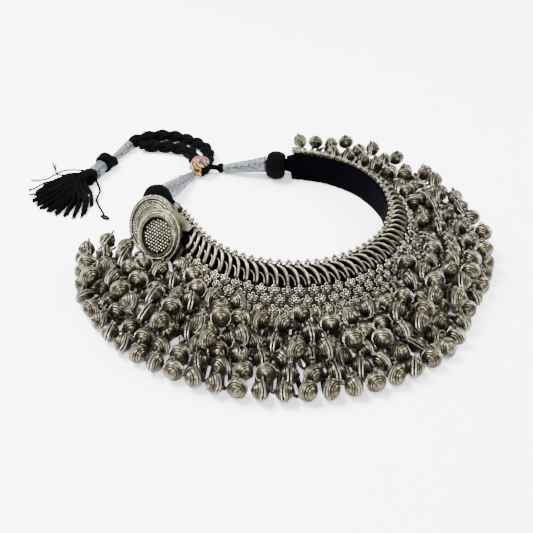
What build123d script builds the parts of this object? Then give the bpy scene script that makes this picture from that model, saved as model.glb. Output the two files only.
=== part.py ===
from build123d import *
import math
import os
import random
import numpy as np

# A bell collar choker lying on a surface. The front centre points along -Y, the open ends and
# the tie cord point along +Y, and z = 0 is the surface. Lengths are millimetres.

# Neck ring: an arc about the origin, with a straight stretch at the near end
neck_radius = 58.4
near_turn = 102.0
far_turn = 135.5
near_straight = 48.5

# Padded velvet band, a wedge in section
band_height = 20.5
band_top_land = 0.8
shoulder_length = 13.0
shoulder_angle = 33.7
skirt_angle = 57.8
band_rounding = 0.5
tail_diameter = 11.4
tail_out = 7.6
tail_inset = 1.5

# Silver mesh on the outer face of the band, in rows from the top edge down
cloth_gap = 0.3
row_gap = 0.35
mesh_thickness = 1.7
edge_row_height = 3.0
edge_row_overhang = 1.4
edge_row_straight = 24.0
link_row_straight = 6.0
link_pitch = 4.7
link_wire = 1.6
link_slant = 24.0
link_border = 1.4
rosette_width = 5.1
rosette_rows = 3
rosette_near_turn = 99.0
mesh_far_turn = 130.0

# Strip loops below the rosettes
loop_row_height = 13.0
loop_row_rise = 12.0
loop_row_lift = 0.9
loop_pitch = 6.2
loop_slot = 3.2
loop_border = 1.5
loop_thickness = 1.5

# End tabs with rolled knuckles
tab_thickness = 1.2
tab_end = 29.0
tab_notch_width = 5.0
tab_notch_depth = 4.0
tab_skirt_height = 10.0
knuckle_diameter = 4.0
knuckle_length = 5.6
pin_diameter = 2.6
pin_inset = 1.0
far_tab_start = 130.4
far_tab_turn = 4.2

# Two stacked discs at the near end
disc_along = 16.6
disc_out = 20.0
disc_height = 14.0
disc_turn = 22.0
disc_lean = 31.0
front_disc_radius = 15.6
front_disc_depth = 3.6
front_dish_radius = 11.0
front_dish_depth = 1.7
front_rim_width = 1.3
front_plate = 1.0
front_ridges = (13.35, 14.35, 15.2)
ridge_wire = 0.8
back_disc_radius = 17.9
back_disc_plate = 1.4
back_disc_end_shift = 8.5
back_disc_up_shift = 3.3
back_ridges = (17.2, 16.1, 14.3, 12.6, 11.7)
disc_gap = 0.3
disc_post_diameter = 6.0
disc_post_length = 14.0

# Bells
bell_diameter = 10.5
bell_thickness = 9.0
rim_width = 0.8
slit_width = 0.7
slit_depth = 0.7
dome_step = 0.35
shank_diameter = 2.9
shank_wire = 0.95
shank_sink = 0.45
bell_clearance = 0.15
bell_spacing = 11.2
layer_height = 8.0
pile_limit = 16.0
pile_start = 11.5
pile_rise = 0.8
disc_open_space = 9.0

# Rows of bells: first and last place along the collar as shares of its far half length,
# how many bells, how far out they start as a share of the fringe, and the layer they start in
bell_rows = (
    # name, first_share, last_share, count, out_share, layer
    ("bells_row_1", -0.82, 0.94, 32, 0.00, 1),
    ("bells_row_2", -0.88, 0.90, 46, 0.30, 1),
    ("bells_row_3", -0.93, 0.52, 46, 0.52, 1),
    ("bells_row_4", -0.97, 0.36, 46, 0.76, 0),
    ("bells_row_5", -0.99, 0.06, 38, 1.00, 0),
)
fringe_inner = 37.0
fringe_end_start = 24.0
fringe_end_slant = 0.5
settle_steps = 400
clearing_steps = 900
settle_sink = 0.12
settle_pull = 0.02
start_scatter = 1.0
settle_seed = 11
least_distance = 0.001

# How each bell's shank is turned: the directions tried, and what each merit counts for
shank_turns = range(-160, 161, 16)
shank_rises = (-10, 5, 20, 35, 50, 70)
shank_room_limit = 0.3
shank_room_worth = 4.0
shank_inward_worth = 0.5
shank_upward_worth = 0.3
shank_chance_worth = 0.3
shank_tight_cost = 10.0

# How far the fringe spreads over the surface, as shares of the far half length and of the reach
fringe_reach = 85.0
fringe_shares = (
    # along_share, reach_share
    (-1.03, 0.76),
    (-0.88, 0.86),
    (-0.75, 0.93),
    (-0.60, 0.98),
    (-0.40, 1.00),
    (-0.17, 0.98),
    (-0.04, 0.93),
    (0.06, 0.80),
    (0.22, 0.77),
    (0.33, 0.65),
    (0.45, 0.56),
    (0.66, 0.53),
    (1.00, 0.51),
)

# Thread-bound bulbs at the ends of the band
bulb_radius = 9.4
bulb_half_length = 6.2
bulb_height = 9.5
near_bulb_past_end = 11.2
near_bulb_out = 3.25
far_bulb_past_end = 9.8
far_bulb_out = 4.65

# Tie cord: silver-wrapped tapers, slider bead, two ropes, wraps, knot and tassel.
# Its places are measured across, back from the inner wall at the back of the neck, and up.
near_wrap_tip = (-6.0, 30.8, 2.5)
near_wrap_radii = (6.0, 2.2)
far_wrap_tip = (13.6, 21.3, 3.2)
far_wrap_radii = (5.5, 2.9)
far_knot_place = (11.6, 24.2, 3.5)
far_knot_radius = 3.4
far_cord_radius = 2.05
bead_place = (-0.2, 30.0, 7.1)
bead_radius = 7.0
rope_diameter = 7.8
rope_height = 4.0
outer_rope_points = (
    (5.6, 31.9), (14.0, 38.5), (20.3, 48.0), (21.4, 60.6), (15.2, 80.9),
    (6.0, 90.4), (-6.6, 94.5), (-16.5, 92.7),
)
inner_rope_points = (
    (-1.3, 36.2), (5.6, 42.8), (8.9, 51.6), (7.6, 61.1), (2.8, 69.8),
    (-4.2, 78.0), (-12.2, 85.2),
)
bend_share = 0.45
upper_wrap_start = (-17.3, 91.3, 3.8)
upper_wrap_tip = (-35.6, 83.6, 3.4)
upper_wrap_radii = (3.6, 2.0)
small_knot_place = (-38.1, 80.7, 3.7)
small_knot_radius = 3.6
large_knot_place = (-45.3, 79.2, 6.0)
large_knot_radius = 5.9
lower_wrap_end = (-56.9, 73.5, 5.0)
lower_wrap_radius = 4.7
tassel_head_place = (-62.1, 71.2, 5.5)
tassel_head_radius = 5.4
lock_root_radius = 4.6
lock_tip_radius = 1.7
tassel_length = 50.0
tassel_locks = (
    # heading_deg, length_share
    (112, 0.44),
    (124, 0.52),
    (136, 0.62),
    (148, 0.74),
    (158, 0.84),
    (167, 0.88),
    (176, 0.92),
    (185, 0.92),
    (194, 0.92),
    (203, 0.94),
    (212, 0.94),
    (221, 0.94),
    (230, 0.96),
    (241, 0.64),
)

near_arc = neck_radius * math.radians(near_turn)
far_arc = neck_radius * math.radians(far_turn)
os.makedirs("parts", exist_ok=True)


def write(piece, name):
    """Label a finished piece and write it."""
    piece.part.label = name
    export_step(piece.part, f"parts/{name}.step")


# Places on the collar

def collar_point(along, out, height):
    """A point given by its length along the inner wall, its distance out from it and its height."""
    turn = max(along / neck_radius, -math.radians(near_turn))
    spare = along - neck_radius * turn
    across = neck_radius + out
    x = across * math.sin(turn) + spare * math.cos(turn)
    y = -across * math.cos(turn) + spare * math.sin(turn)
    return Vector(x, y, height)


def collar_directions(along):
    """The outward and the forward direction at a place along the collar."""
    turn = max(along / neck_radius, -math.radians(near_turn))
    outward = Vector(math.sin(turn), -math.cos(turn), 0)
    forward = Vector(math.cos(turn), math.sin(turn), 0)
    return outward, forward


def section_plane(turn):
    """The upright plane through the axis at a turn: x runs out from the axis, y runs up."""
    angle = math.radians(turn)
    return Plane(
        origin=(0, 0, 0),
        x_dir=(math.sin(angle), -math.cos(angle), 0),
        z_dir=(-math.cos(angle), -math.sin(angle), 0),
    )


shoulder = math.radians(shoulder_angle)
skirt = math.radians(skirt_angle)
shoulder_foot = (
    band_top_land + shoulder_length * math.cos(shoulder),
    band_height - shoulder_length * math.sin(shoulder),
)
band_foot = shoulder_foot[0] + shoulder_foot[1] / math.tan(skirt)


def slope_point(down, lift):
    """Distance out and height of a point on the band's slope, lifted off the cloth."""
    if down < shoulder_length:
        out = band_top_land + down * math.cos(shoulder) + lift * math.sin(shoulder)
        return out, band_height - down * math.sin(shoulder) + lift * math.cos(shoulder)
    below = down - shoulder_length
    out = shoulder_foot[0] + below * math.cos(skirt) + lift * math.sin(skirt)
    return out, shoulder_foot[1] - below * math.sin(skirt) + lift * math.cos(skirt)


def slope_plane(along, down, lift):
    """The plane of the mesh at a place: x runs along the collar, z off the slope."""
    out, height = slope_point(down, lift)
    outward, forward = collar_directions(along)
    angle = shoulder if down < shoulder_length else skirt
    normal = outward * math.sin(angle) + Vector(0, 0, math.cos(angle))
    return Plane(origin=collar_point(along, out, height), x_dir=forward, z_dir=normal)


def strip_section(start, end, thickness):
    """Corners of a flat strip on the slope, from one distance down it to another."""
    corners = [
        slope_point(start, cloth_gap),
        slope_point(end, cloth_gap),
        slope_point(end, cloth_gap + thickness),
        slope_point(start, cloth_gap + thickness),
    ]
    return [(neck_radius + out, height) for out, height in corners]


def sweep_round(corners, start_turn, end_turn, straight=0.0):
    """Add a section swept round the arc between two turns, and along the near straight."""
    with BuildSketch(section_plane(start_turn)) as section:
        with BuildLine():
            Polyline(*corners, close=True)
        make_face()
    revolve(section.sketch, axis=Axis.Z, revolution_arc=end_turn - start_turn)
    if straight > 0:
        extrude(section.sketch, amount=straight)


# Thread-bound bulbs

def bulb_solid(place, heading, clearance):
    """A ball cut flat across a level axis at both ends, grown all round by the clearance."""
    radius = bulb_radius + clearance
    half = bulb_half_length + clearance
    face = math.sqrt(radius**2 - half**2)
    angle = math.radians(heading)
    axis_direction = Vector(math.cos(angle), math.sin(angle), 0)
    centre = Vector(*place)
    plane = Plane(origin=centre, x_dir=axis_direction, z_dir=(0, 0, 1))
    with BuildPart(mode=Mode.PRIVATE) as bulb:
        with BuildSketch(plane):
            with BuildLine():
                Polyline((half, face), (half, 0), (-half, 0), (-half, face))
                ThreePointArc((-half, face), (0, radius), (half, face))
            make_face()
        revolve(axis=Axis(centre, axis_direction))
    return bulb.part


def behind_neck(across, back, height):
    """A place of the tie cord, from its distance back from the neck ring's inner wall."""
    return across, neck_radius + back, height


def heading_between(start, end):
    """The level heading from one place to another."""
    return math.degrees(math.atan2(end[1] - start[1], end[0] - start[0]))


near_end_along = -near_arc - near_straight
near_bulb_place = tuple(collar_point(near_end_along - near_bulb_past_end, near_bulb_out, bulb_height))
far_bulb_place = tuple(collar_point(far_arc + far_bulb_past_end, far_bulb_out, bulb_height))
near_tip_place = behind_neck(*near_wrap_tip)
far_tip_place = behind_neck(*far_wrap_tip)
near_heading = heading_between(near_bulb_place, near_tip_place)
far_heading = heading_between(far_bulb_place, far_tip_place)
near_bulb_core = bulb_solid(near_bulb_place, near_heading, 0)
far_bulb_core = bulb_solid(far_bulb_place, far_heading, 0)
near_bulb_room = bulb_solid(near_bulb_place, near_heading, cloth_gap)
far_bulb_room = bulb_solid(far_bulb_place, far_heading, cloth_gap)

with BuildPart() as near_bulb:
    add(near_bulb_core)
write(near_bulb, "near_bulb")

with BuildPart() as far_bulb:
    add(far_bulb_core)
write(far_bulb, "far_bulb")


# Padded velvet band, with a drawn-in tail at each end that runs up to the bulb

def rod(start, end, start_radius, end_radius):
    """A straight round rod or taper between two points."""
    first = Vector(*start)
    last = Vector(*end)
    plane = Plane(origin=first, z_dir=last - first)
    with BuildPart(mode=Mode.PRIVATE) as piece:
        with BuildSketch(plane):
            Circle(start_radius)
        with BuildSketch(plane.offset((last - first).length)):
            Circle(end_radius)
        loft()
    return piece.part


def ball(place, radius):
    """A ball about a point."""
    with BuildPart(mode=Mode.PRIVATE) as piece:
        with Locations(Vector(*place)):
            Sphere(radius)
    return piece.part


def tail(along, bulb_place):
    """The round tail from inside the band's end to the bulb's centre."""
    start = collar_point(along, tail_out, bulb_height)
    return rod(start, bulb_place, tail_diameter / 2, tail_diameter / 2)


near_tail = tail(near_end_along + tail_inset, near_bulb_place)
far_tail = tail(far_arc - tail_inset, far_bulb_place)
band_section = [
    (neck_radius, 0),
    (neck_radius + band_foot, 0),
    (neck_radius + shoulder_foot[0], shoulder_foot[1]),
    (neck_radius + band_top_land, band_height),
    (neck_radius, band_height),
]
with BuildPart() as velvet_band:
    with BuildSketch(section_plane(-near_turn)) as padding:
        with BuildLine():
            Polyline(*band_section, close=True)
        make_face()
        fillet(padding.vertices(), band_rounding)
    revolve(padding.sketch, axis=Axis.Z, revolution_arc=near_turn + far_turn)
    extrude(padding.sketch, amount=near_straight)
    add(near_tail)
    add(far_tail)
    add(near_bulb_room, mode=Mode.SUBTRACT)
    add(far_bulb_room, mode=Mode.SUBTRACT)
write(velvet_band, "velvet_band")


# Rows of silver mesh

edge_row_end = edge_row_height - edge_row_overhang
with BuildPart() as top_edge:
    edge_section = strip_section(-edge_row_overhang, edge_row_end, mesh_thickness)
    sweep_round(edge_section, -near_turn, mesh_far_turn, edge_row_straight)
write(top_edge, "top_edge")

link_row_start = edge_row_end + row_gap
link_row_end = shoulder_length - row_gap
link_slot_width = link_pitch - link_wire
link_slot_length = (link_row_end - link_row_start - 2 * link_border) / math.cos(math.radians(link_slant))
mesh_far_along = neck_radius * math.radians(mesh_far_turn)
link_count = int((mesh_far_along + near_arc + link_row_straight) / link_pitch)
link_places = []
for index in range(link_count):
    link_along = mesh_far_along - (index + 0.5) * link_pitch
    link_lift = cloth_gap + mesh_thickness / 2
    link_plane = slope_plane(link_along, (link_row_start + link_row_end) / 2, link_lift)
    link_places.append(link_plane.rotated((0, 0, link_slant)).location)
with BuildPart() as link_row:
    link_section = strip_section(link_row_start, link_row_end, mesh_thickness)
    sweep_round(link_section, -near_turn, mesh_far_turn, link_row_straight)
    with Locations(*link_places):
        Box(link_slot_width, link_slot_length, 3 * mesh_thickness, mode=Mode.SUBTRACT)
write(link_row, "link_row")

rosette_row_start = shoulder_length + row_gap
rosette_row_end = rosette_row_start + rosette_rows * rosette_width
with BuildPart() as rosette_band:
    rosette_section = strip_section(rosette_row_start, rosette_row_end, mesh_thickness)
    sweep_round(rosette_section, -rosette_near_turn, mesh_far_turn)
write(rosette_band, "rosette_band")

loop_tilt = math.radians(loop_row_rise)
loop_inner_out = slope_point(rosette_row_end, cloth_gap + mesh_thickness)[0] + row_gap


def loop_point(away, lift):
    """Distance out and height of a point on the strip loops' rising slope."""
    out = loop_inner_out + away * math.cos(loop_tilt) - lift * math.sin(loop_tilt)
    return out, loop_row_lift + away * math.sin(loop_tilt) + lift * math.cos(loop_tilt)


loop_corners = (
    loop_point(0, 0),
    loop_point(loop_row_height, 0),
    loop_point(loop_row_height, loop_thickness),
    loop_point(0, loop_thickness),
)
loop_section = [(neck_radius + out, height) for out, height in loop_corners]
rosette_near_along = neck_radius * math.radians(rosette_near_turn)
loop_count = int((mesh_far_along + rosette_near_along) / loop_pitch)
loop_places = []
for index in range(loop_count):
    loop_along = mesh_far_along - (index + 0.5) * loop_pitch
    loop_out, loop_height = loop_point(loop_row_height / 2, loop_thickness / 2)
    loop_outward, loop_forward = collar_directions(loop_along)
    loop_plane = Plane(
        origin=collar_point(loop_along, loop_out, loop_height),
        x_dir=loop_forward,
        z_dir=Vector(0, 0, math.cos(loop_tilt)) - loop_outward * math.sin(loop_tilt),
    )
    loop_places.append(loop_plane.location)
with BuildPart() as loop_row:
    sweep_round(loop_section, -rosette_near_turn, mesh_far_turn)
    with Locations(*loop_places):
        Box(loop_slot, loop_row_height - 2 * loop_border, 3 * loop_thickness, mode=Mode.SUBTRACT)
write(loop_row, "loop_row")


# End tabs: sheet bent over the slope, with a knuckle at the top edge

def bend_point(lift):
    """The sheet's bend over the foot of the shoulder."""
    middle = (shoulder + skirt) / 2
    away = lift / math.cos((skirt - shoulder) / 2)
    return shoulder_foot[0] + away * math.sin(middle), shoulder_foot[1] + away * math.cos(middle)


def bent_section(start, end, low, high):
    """Corners of a sheet that follows the shoulder and the skirt between two lifts."""
    corners = (
        slope_point(start, low),
        bend_point(low),
        slope_point(end, low),
        slope_point(end, high),
        bend_point(high),
        slope_point(start, high),
    )
    return [(neck_radius + out, height) for out, height in corners]


def knuckle(along):
    """A rolled knuckle lying along the collar at the sheet's top edge."""
    half = collar_directions(along)[1] * (knuckle_length / 2)
    out, height = slope_point(edge_row_end / 2, cloth_gap + knuckle_diameter / 2)
    middle = collar_point(along, out, height)
    return rod(middle - half, middle + half, knuckle_diameter / 2, knuckle_diameter / 2)


tab_top = cloth_gap + tab_thickness
tab_foot = shoulder_length + tab_skirt_height
tab_start = link_row_straight + row_gap
near_end_plane = section_plane(-near_turn)
tab_section = bent_section(link_row_start, tab_foot, cloth_gap, tab_top)
pin_along = -near_arc + pin_inset
pin_lift = cloth_gap + pin_diameter / 2
pin_top = collar_point(pin_along, *slope_point(shoulder_length + row_gap, pin_lift))
pin_foot = collar_point(pin_along, *slope_point(tab_foot, pin_lift))
notch_plane = slope_plane(-near_arc - tab_start, shoulder_length / 2 + link_border, cloth_gap)
with BuildPart() as near_tab:
    with BuildSketch(near_end_plane.offset(tab_start)):
        with BuildLine():
            Polyline(*tab_section, close=True)
        make_face()
    extrude(amount=tab_end - tab_start)
    with BuildSketch(near_end_plane):
        with BuildLine():
            Polyline(*strip_section(shoulder_length + row_gap, tab_foot, tab_thickness), close=True)
        make_face()
    extrude(amount=tab_end)
    with BuildSketch(notch_plane):
        with BuildLine():
            Polyline(
                (tab_notch_width, tab_notch_width),
                (tab_notch_width, -tab_notch_width),
                (-tab_notch_depth, 0),
                close=True,
            )
        make_face()
    extrude(amount=3 * tab_thickness, mode=Mode.SUBTRACT)
    add(knuckle(-near_arc - edge_row_straight - row_gap - knuckle_length / 2))
    add(rod(pin_top, pin_foot, pin_diameter / 2, pin_diameter / 2))
write(near_tab, "near_tab")

far_tab_middle = neck_radius * math.radians(far_tab_start + far_tab_turn / 2)
with BuildPart() as far_tab:
    sweep_round(tab_section, far_tab_start, far_tab_start + far_tab_turn)
    add(knuckle(far_tab_middle + row_gap))
write(far_tab, "far_tab")


# Two stacked discs at the near end, on a plain post

disc_along_collar = -near_arc - disc_along
disc_outward = collar_directions(disc_along_collar)[0].rotate(Axis.Z, disc_turn)
disc_lean_angle = math.radians(disc_lean)
disc_normal = disc_outward * math.cos(disc_lean_angle) + Vector(0, 0, math.sin(disc_lean_angle))
disc_level = Vector(0, 0, 1).cross(disc_normal).normalized()
front_plane = Plane(
    origin=collar_point(disc_along_collar, disc_out, disc_height),
    x_dir=disc_level,
    z_dir=disc_normal,
)
front_profile_plane = Plane(
    origin=front_plane.origin, x_dir=disc_level, z_dir=disc_level.cross(disc_normal)
)
front_rim_radius = front_dish_radius + front_rim_width
flank_fall = (front_disc_depth - front_plate) / (front_disc_radius - front_rim_radius)
with BuildPart() as front_disc:
    with BuildSketch(front_profile_plane):
        with BuildLine():
            Polyline(
                (0, 0),
                (front_disc_radius, 0),
                (front_disc_radius, front_plate),
                (front_rim_radius, front_disc_depth),
                (front_dish_radius, front_disc_depth),
                (front_dish_radius - front_rim_width / 2, front_disc_depth - front_dish_depth),
                (0, front_disc_depth - front_dish_depth),
                close=True,
            )
        make_face()
    revolve(axis=Axis(front_plane.origin, disc_normal))
    for ridge_radius in front_ridges:
        ridge_height = front_plate + (front_disc_radius - ridge_radius) * flank_fall
        with Locations(front_plane.offset(ridge_height).location):
            Torus(ridge_radius, ridge_wire / 2)
write(front_disc, "front_disc")

back_face_drop = disc_gap + ridge_wire / 2
back_origin = (
    front_plane.origin
    - disc_level * back_disc_end_shift
    + front_plane.y_dir * back_disc_up_shift
    - disc_normal * back_face_drop
)
back_plane = Plane(origin=back_origin, x_dir=disc_level, z_dir=disc_normal)
post_foot = back_origin - disc_normal * disc_post_length
post_room_section = bent_section(-band_height, 2 * band_height, -disc_post_length, tab_top + disc_gap)
with BuildPart() as back_disc:
    with BuildSketch(back_plane):
        Circle(back_disc_radius)
    extrude(amount=-back_disc_plate)
    for ridge_radius in back_ridges:
        with Locations(back_plane.location):
            Torus(ridge_radius, ridge_wire / 2)
    add(rod(back_origin - disc_normal * (back_disc_plate / 2), post_foot, disc_post_diameter / 2,
            disc_post_diameter / 2))
    with BuildSketch(near_end_plane):
        with BuildLine():
            Polyline(*post_room_section, close=True)
        make_face()
    extrude(amount=near_straight, mode=Mode.SUBTRACT)
write(back_disc, "back_disc")


# Bells: two domes with a slit between two rims, and a ring shank in the slit's plane

bell_radius = bell_diameter / 2
rim_edge = slit_width / 2 + rim_width
rim_foot = bell_radius - dome_step
pole = bell_thickness / 2
shank_centre = bell_radius + shank_diameter / 2 - shank_sink
shank_reach = shank_diameter / 2
with BuildPart() as bell:
    with BuildSketch(Plane.XY):
        with BuildLine():
            TangentArc((-pole, 0), (-rim_edge, rim_foot), tangent=(0, 1))
            Polyline(
                (-rim_edge, rim_foot),
                (-rim_edge, bell_radius),
                (-slit_width / 2, bell_radius),
                (-slit_width / 2, bell_radius - slit_depth),
                (slit_width / 2, bell_radius - slit_depth),
                (slit_width / 2, bell_radius),
                (rim_edge, bell_radius),
                (rim_edge, rim_foot),
            )
            TangentArc((pole, 0), (rim_edge, rim_foot), tangent=(0, 1))
            Line((pole, 0), (-pole, 0))
        make_face()
    revolve(axis=Axis.X)
    with Locations(Location((0, 0, shank_centre), (0, 90, 0))):
        Torus((shank_diameter - shank_wire) / 2, shank_wire / 2)


def out_of_collar(x, y):
    """Lengths along the inner wall and distances out from it, for arrays of places."""
    turn = np.arctan2(x, -y)
    end_turn = -math.radians(near_turn)
    start = collar_point(-near_arc, 0, 0)
    outward, forward = collar_directions(-near_arc)
    straight_along = -near_arc + (x - start.X) * forward.X + (y - start.Y) * forward.Y
    straight_out = (x - start.X) * outward.X + (y - start.Y) * outward.Y
    on_straight = turn < end_turn
    along = np.where(on_straight, straight_along, turn * neck_radius)
    return along, np.where(on_straight, straight_out, np.hypot(x, y) - neck_radius)


def outward_at(along):
    """Outward directions at an array of places along the collar."""
    turn = np.maximum(along / neck_radius, -math.radians(near_turn))
    return np.stack([np.sin(turn), -np.cos(turn)], axis=1)


def away_from_segment(out, height, start, end):
    """From the nearest place on a segment of the collar's section to each of an array of points."""
    span = np.array(end) - np.array(start)
    flat = np.stack([out, height], axis=1)
    share = np.clip((flat - start) @ span / (span @ span), 0, 1)
    return flat - (np.array(start) + share[:, None] * span)


def keep_off_segment(places, start, end, room):
    """Push bells off a segment of the collar's section, given as distance out and height."""
    along, out = out_of_collar(places[:, 0], places[:, 1])
    away = away_from_segment(out, places[:, 2], start, end)
    distance = np.maximum(np.linalg.norm(away, axis=1), least_distance)
    push = np.maximum(room - distance, 0)[:, None] * away / distance[:, None]
    places[:, :2] += push[:, :1] * outward_at(along)
    places[:, 2] += push[:, 1]


def keep_off_disc(places, plane, radius, low, high, room):
    """Push bells off a flat disc that lies between two heights over its plane."""
    centre = np.array([plane.origin.X, plane.origin.Y, plane.origin.Z])
    normal = np.array([plane.z_dir.X, plane.z_dir.Y, plane.z_dir.Z])
    offset = places - centre
    height = offset @ normal
    across = offset - height[:, None] * normal
    reach = np.maximum(np.linalg.norm(across, axis=1), least_distance)
    nearest = across * (np.minimum(reach, radius) / reach)[:, None]
    nearest += np.clip(height, low, high)[:, None] * normal
    away = offset - nearest
    distance = np.maximum(np.linalg.norm(away, axis=1), least_distance)
    places += np.maximum(room - distance, 0)[:, None] * away / distance[:, None]


def spread_bells(places):
    """Push apart each pair of bells that is closer than their spacing."""
    offset = places[:, None, :] - places[None, :, :]
    distance = np.linalg.norm(offset, axis=2) + np.eye(len(places)) * fringe_reach
    lack = np.maximum(bell_spacing - distance, 0)
    places += 0.5 * np.einsum("ij,ijk->ik", lack / distance, offset)


mesh_corner = bend_point(cloth_gap + mesh_thickness / 2)
mesh_foot = slope_point(rosette_row_end, cloth_gap + mesh_thickness / 2)
loop_start = loop_point(0, loop_thickness / 2)
loop_end = loop_point(loop_row_height, loop_thickness / 2)


def settle_bells():
    """Start each bell in its row, then let the bells sink and push each other clear."""
    chance = random.Random(settle_seed)
    shares = [share for share, reach in fringe_shares]
    reaches = [reach for share, reach in fringe_shares]
    room = bell_radius + bell_clearance
    starts = []
    for name, first_share, last_share, count, out_share, layer in bell_rows:
        for index in range(count):
            share = first_share + (last_share - first_share) * (index + 0.5) / count
            reach = fringe_reach * float(np.interp(share, shares, reaches)) - room
            out = fringe_inner + out_share * max(reach - fringe_inner, 0)
            out += chance.uniform(-start_scatter, start_scatter)
            point = collar_point(share * far_arc, out, room + layer * layer_height)
            starts.append((point.X, point.Y, point.Z))
    starts = np.array(starts)
    places = starts.copy()
    for step in range(settle_steps + clearing_steps):
        if step < settle_steps:
            places[:, :2] += settle_pull * (starts - places)[:, :2]
            places[:, 2] -= settle_sink
        spread_bells(places)
        keep_off_segment(places, mesh_corner, mesh_foot, room + mesh_thickness / 2)
        keep_off_segment(places, loop_start, loop_end, room + loop_thickness / 2)
        keep_off_disc(places, front_plane, front_disc_radius, 0, front_disc_depth + disc_open_space, room)
        keep_off_disc(places, back_plane, back_disc_radius, -back_disc_plate, ridge_wire / 2, room)
        along, out = out_of_collar(places[:, 0], places[:, 1])
        pile_top = pile_start + pile_rise * np.clip(out - fringe_inner, 0, fringe_reach)
        places[:, 2] = np.clip(places[:, 2], room, np.minimum(pile_top, pile_limit))
        reach = fringe_reach * np.interp(along / far_arc, shares, reaches) - room
        places[:, :2] -= np.maximum(out - reach, 0)[:, None] * outward_at(along)
        limit = near_arc + fringe_end_start + fringe_end_slant * (out - fringe_inner) - room
        forward = collar_directions(-near_arc)[1]
        past_end = np.maximum(-along - limit, 0)
        places[:, 0] += past_end * forward.X
        places[:, 1] += past_end * forward.Y
    return places


def shank_room(middle, others, shanks):
    """The clear room round a shank at a place, among the other bells and the shanks set so far."""
    room = np.linalg.norm(others - middle, axis=1).min() - bell_radius - shank_reach
    if shanks:
        room = min(room, np.linalg.norm(np.array(shanks) - middle, axis=1).min() - 2 * shank_reach)
    out = out_of_collar(middle[:1], middle[1:2])[1]
    loop_away = away_from_segment(out, middle[2:], loop_start, loop_end)[0]
    loop_room = np.linalg.norm(loop_away) - loop_thickness / 2 - shank_reach
    return min(room, middle[2] - shank_reach, loop_room)


def shank_directions(places):
    """For each bell, the clearest direction for its shank, inwards and up where it can."""
    chance = random.Random(settle_seed)
    along = out_of_collar(places[:, 0], places[:, 1])[0]
    outward = outward_at(along)
    directions = []
    shanks = []
    for index, place in enumerate(places):
        inward = math.atan2(-outward[index, 1], -outward[index, 0])
        others = np.delete(places, index, axis=0)
        tries = []
        for turn in shank_turns:
            for rise in shank_rises:
                heading = inward + math.radians(turn)
                climb = math.radians(rise)
                level = math.cos(climb)
                across = level * math.cos(heading)
                ahead = level * math.sin(heading)
                direction = np.array([across, ahead, math.sin(climb)])
                middle = place + shank_centre * direction
                spare = shank_room(middle, others, shanks) - bell_clearance
                score = shank_room_worth * min(spare, shank_room_limit)
                score += shank_inward_worth * math.cos(math.radians(turn))
                score += shank_upward_worth * math.sin(climb) + chance.uniform(0, shank_chance_worth)
                score -= shank_tight_cost if spare < 0 else 0
                tries.append((score, len(tries), direction, middle, spare))
        score, order, direction, middle, spare = max(tries)
        directions.append(direction)
        shanks.append(middle)
        if spare < 0:
            print("tight shank", index, round(spare, 2))
    return directions


bell_places = settle_bells()
bell_offsets = np.linalg.norm(bell_places[:, None] - bell_places[None], axis=2)
closest_bells = float(bell_offsets[bell_offsets > 0].min())
print("closest bells", round(closest_bells, 2), "highest", round(float(bell_places[:, 2].max()), 1))
bell_shanks = shank_directions(bell_places)
spin_chance = random.Random(settle_seed + 1)
first_bell = 0
for row_name, row_first, row_last, row_count, row_out, row_layer in bell_rows:
    row_places = []
    for bell_index in range(first_bell, first_bell + row_count):
        shank_direction = Vector(*bell_shanks[bell_index])
        side = shank_direction.cross(Vector(0, 0, 1)).normalized()
        spun = side.rotate(Axis((0, 0, 0), shank_direction), spin_chance.uniform(0, 180))
        bell_plane = Plane(origin=Vector(*bell_places[bell_index]), x_dir=spun, z_dir=shank_direction)
        row_places.append(bell_plane.location)
    with BuildPart() as bell_row:
        with Locations(*row_places):
            add(bell.part)
    write(bell_row, row_name)
    print(row_name, "solids", len(bell_row.solids()))
    first_bell += row_count


# Tie cord

def bend_radii(points):
    """The radius of each bend: the largest that its two straight runs allow."""
    radii = []
    for before, here, after in zip(points, points[1:], points[2:]):
        first = Vector(*here) - Vector(*before)
        second = Vector(*after) - Vector(*here)
        half_turn = math.radians(first.get_angle(second)) / 2
        radii.append(bend_share * min(first.length, second.length) / math.tan(half_turn))
    return radii


def rope(points, name):
    """A round rope lying on the surface through the given points."""
    raised = [behind_neck(across, back, rope_height) for across, back in points]
    radii = bend_radii(raised)
    print(name, "bend radii", [round(radius, 1) for radius in radii])
    with BuildPart(mode=Mode.PRIVATE) as piece:
        with BuildLine():
            path = FilletPolyline(*raised, radius=radii)
        with BuildSketch(Plane(origin=path @ 0, z_dir=path % 0)):
            Circle(rope_diameter / 2)
        sweep()
    section = math.pi * rope_diameter**2 / 4
    print(name, "length", round(path.length, 1), "volume share",
          round(piece.part.volume / (section * path.length), 4))
    return piece.part


def wrap(bulb_place, heading, tip, radii):
    """A taper from just off a bulb's end face to its tip."""
    angle = math.radians(heading)
    axis_direction = Vector(math.cos(angle), math.sin(angle), 0)
    start = Vector(*bulb_place) + axis_direction * (bulb_half_length + cloth_gap)
    with BuildPart(mode=Mode.PRIVATE) as taper:
        with BuildSketch(Plane(origin=start, z_dir=axis_direction)):
            Circle(radii[0])
        with BuildSketch(Plane(origin=tip, z_dir=Vector(*tip) - start)):
            Circle(radii[1])
        loft()
    return taper.part


bead_centre = behind_neck(*bead_place)
bead_room = ball(bead_centre, bead_radius + cloth_gap)
with BuildPart() as slider_bead:
    add(ball(bead_centre, bead_radius))
write(slider_bead, "slider_bead")

with BuildPart() as near_wrap:
    add(wrap(near_bulb_place, near_heading, near_tip_place, near_wrap_radii))
    add(bead_room, mode=Mode.SUBTRACT)
write(near_wrap, "near_wrap")

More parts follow.
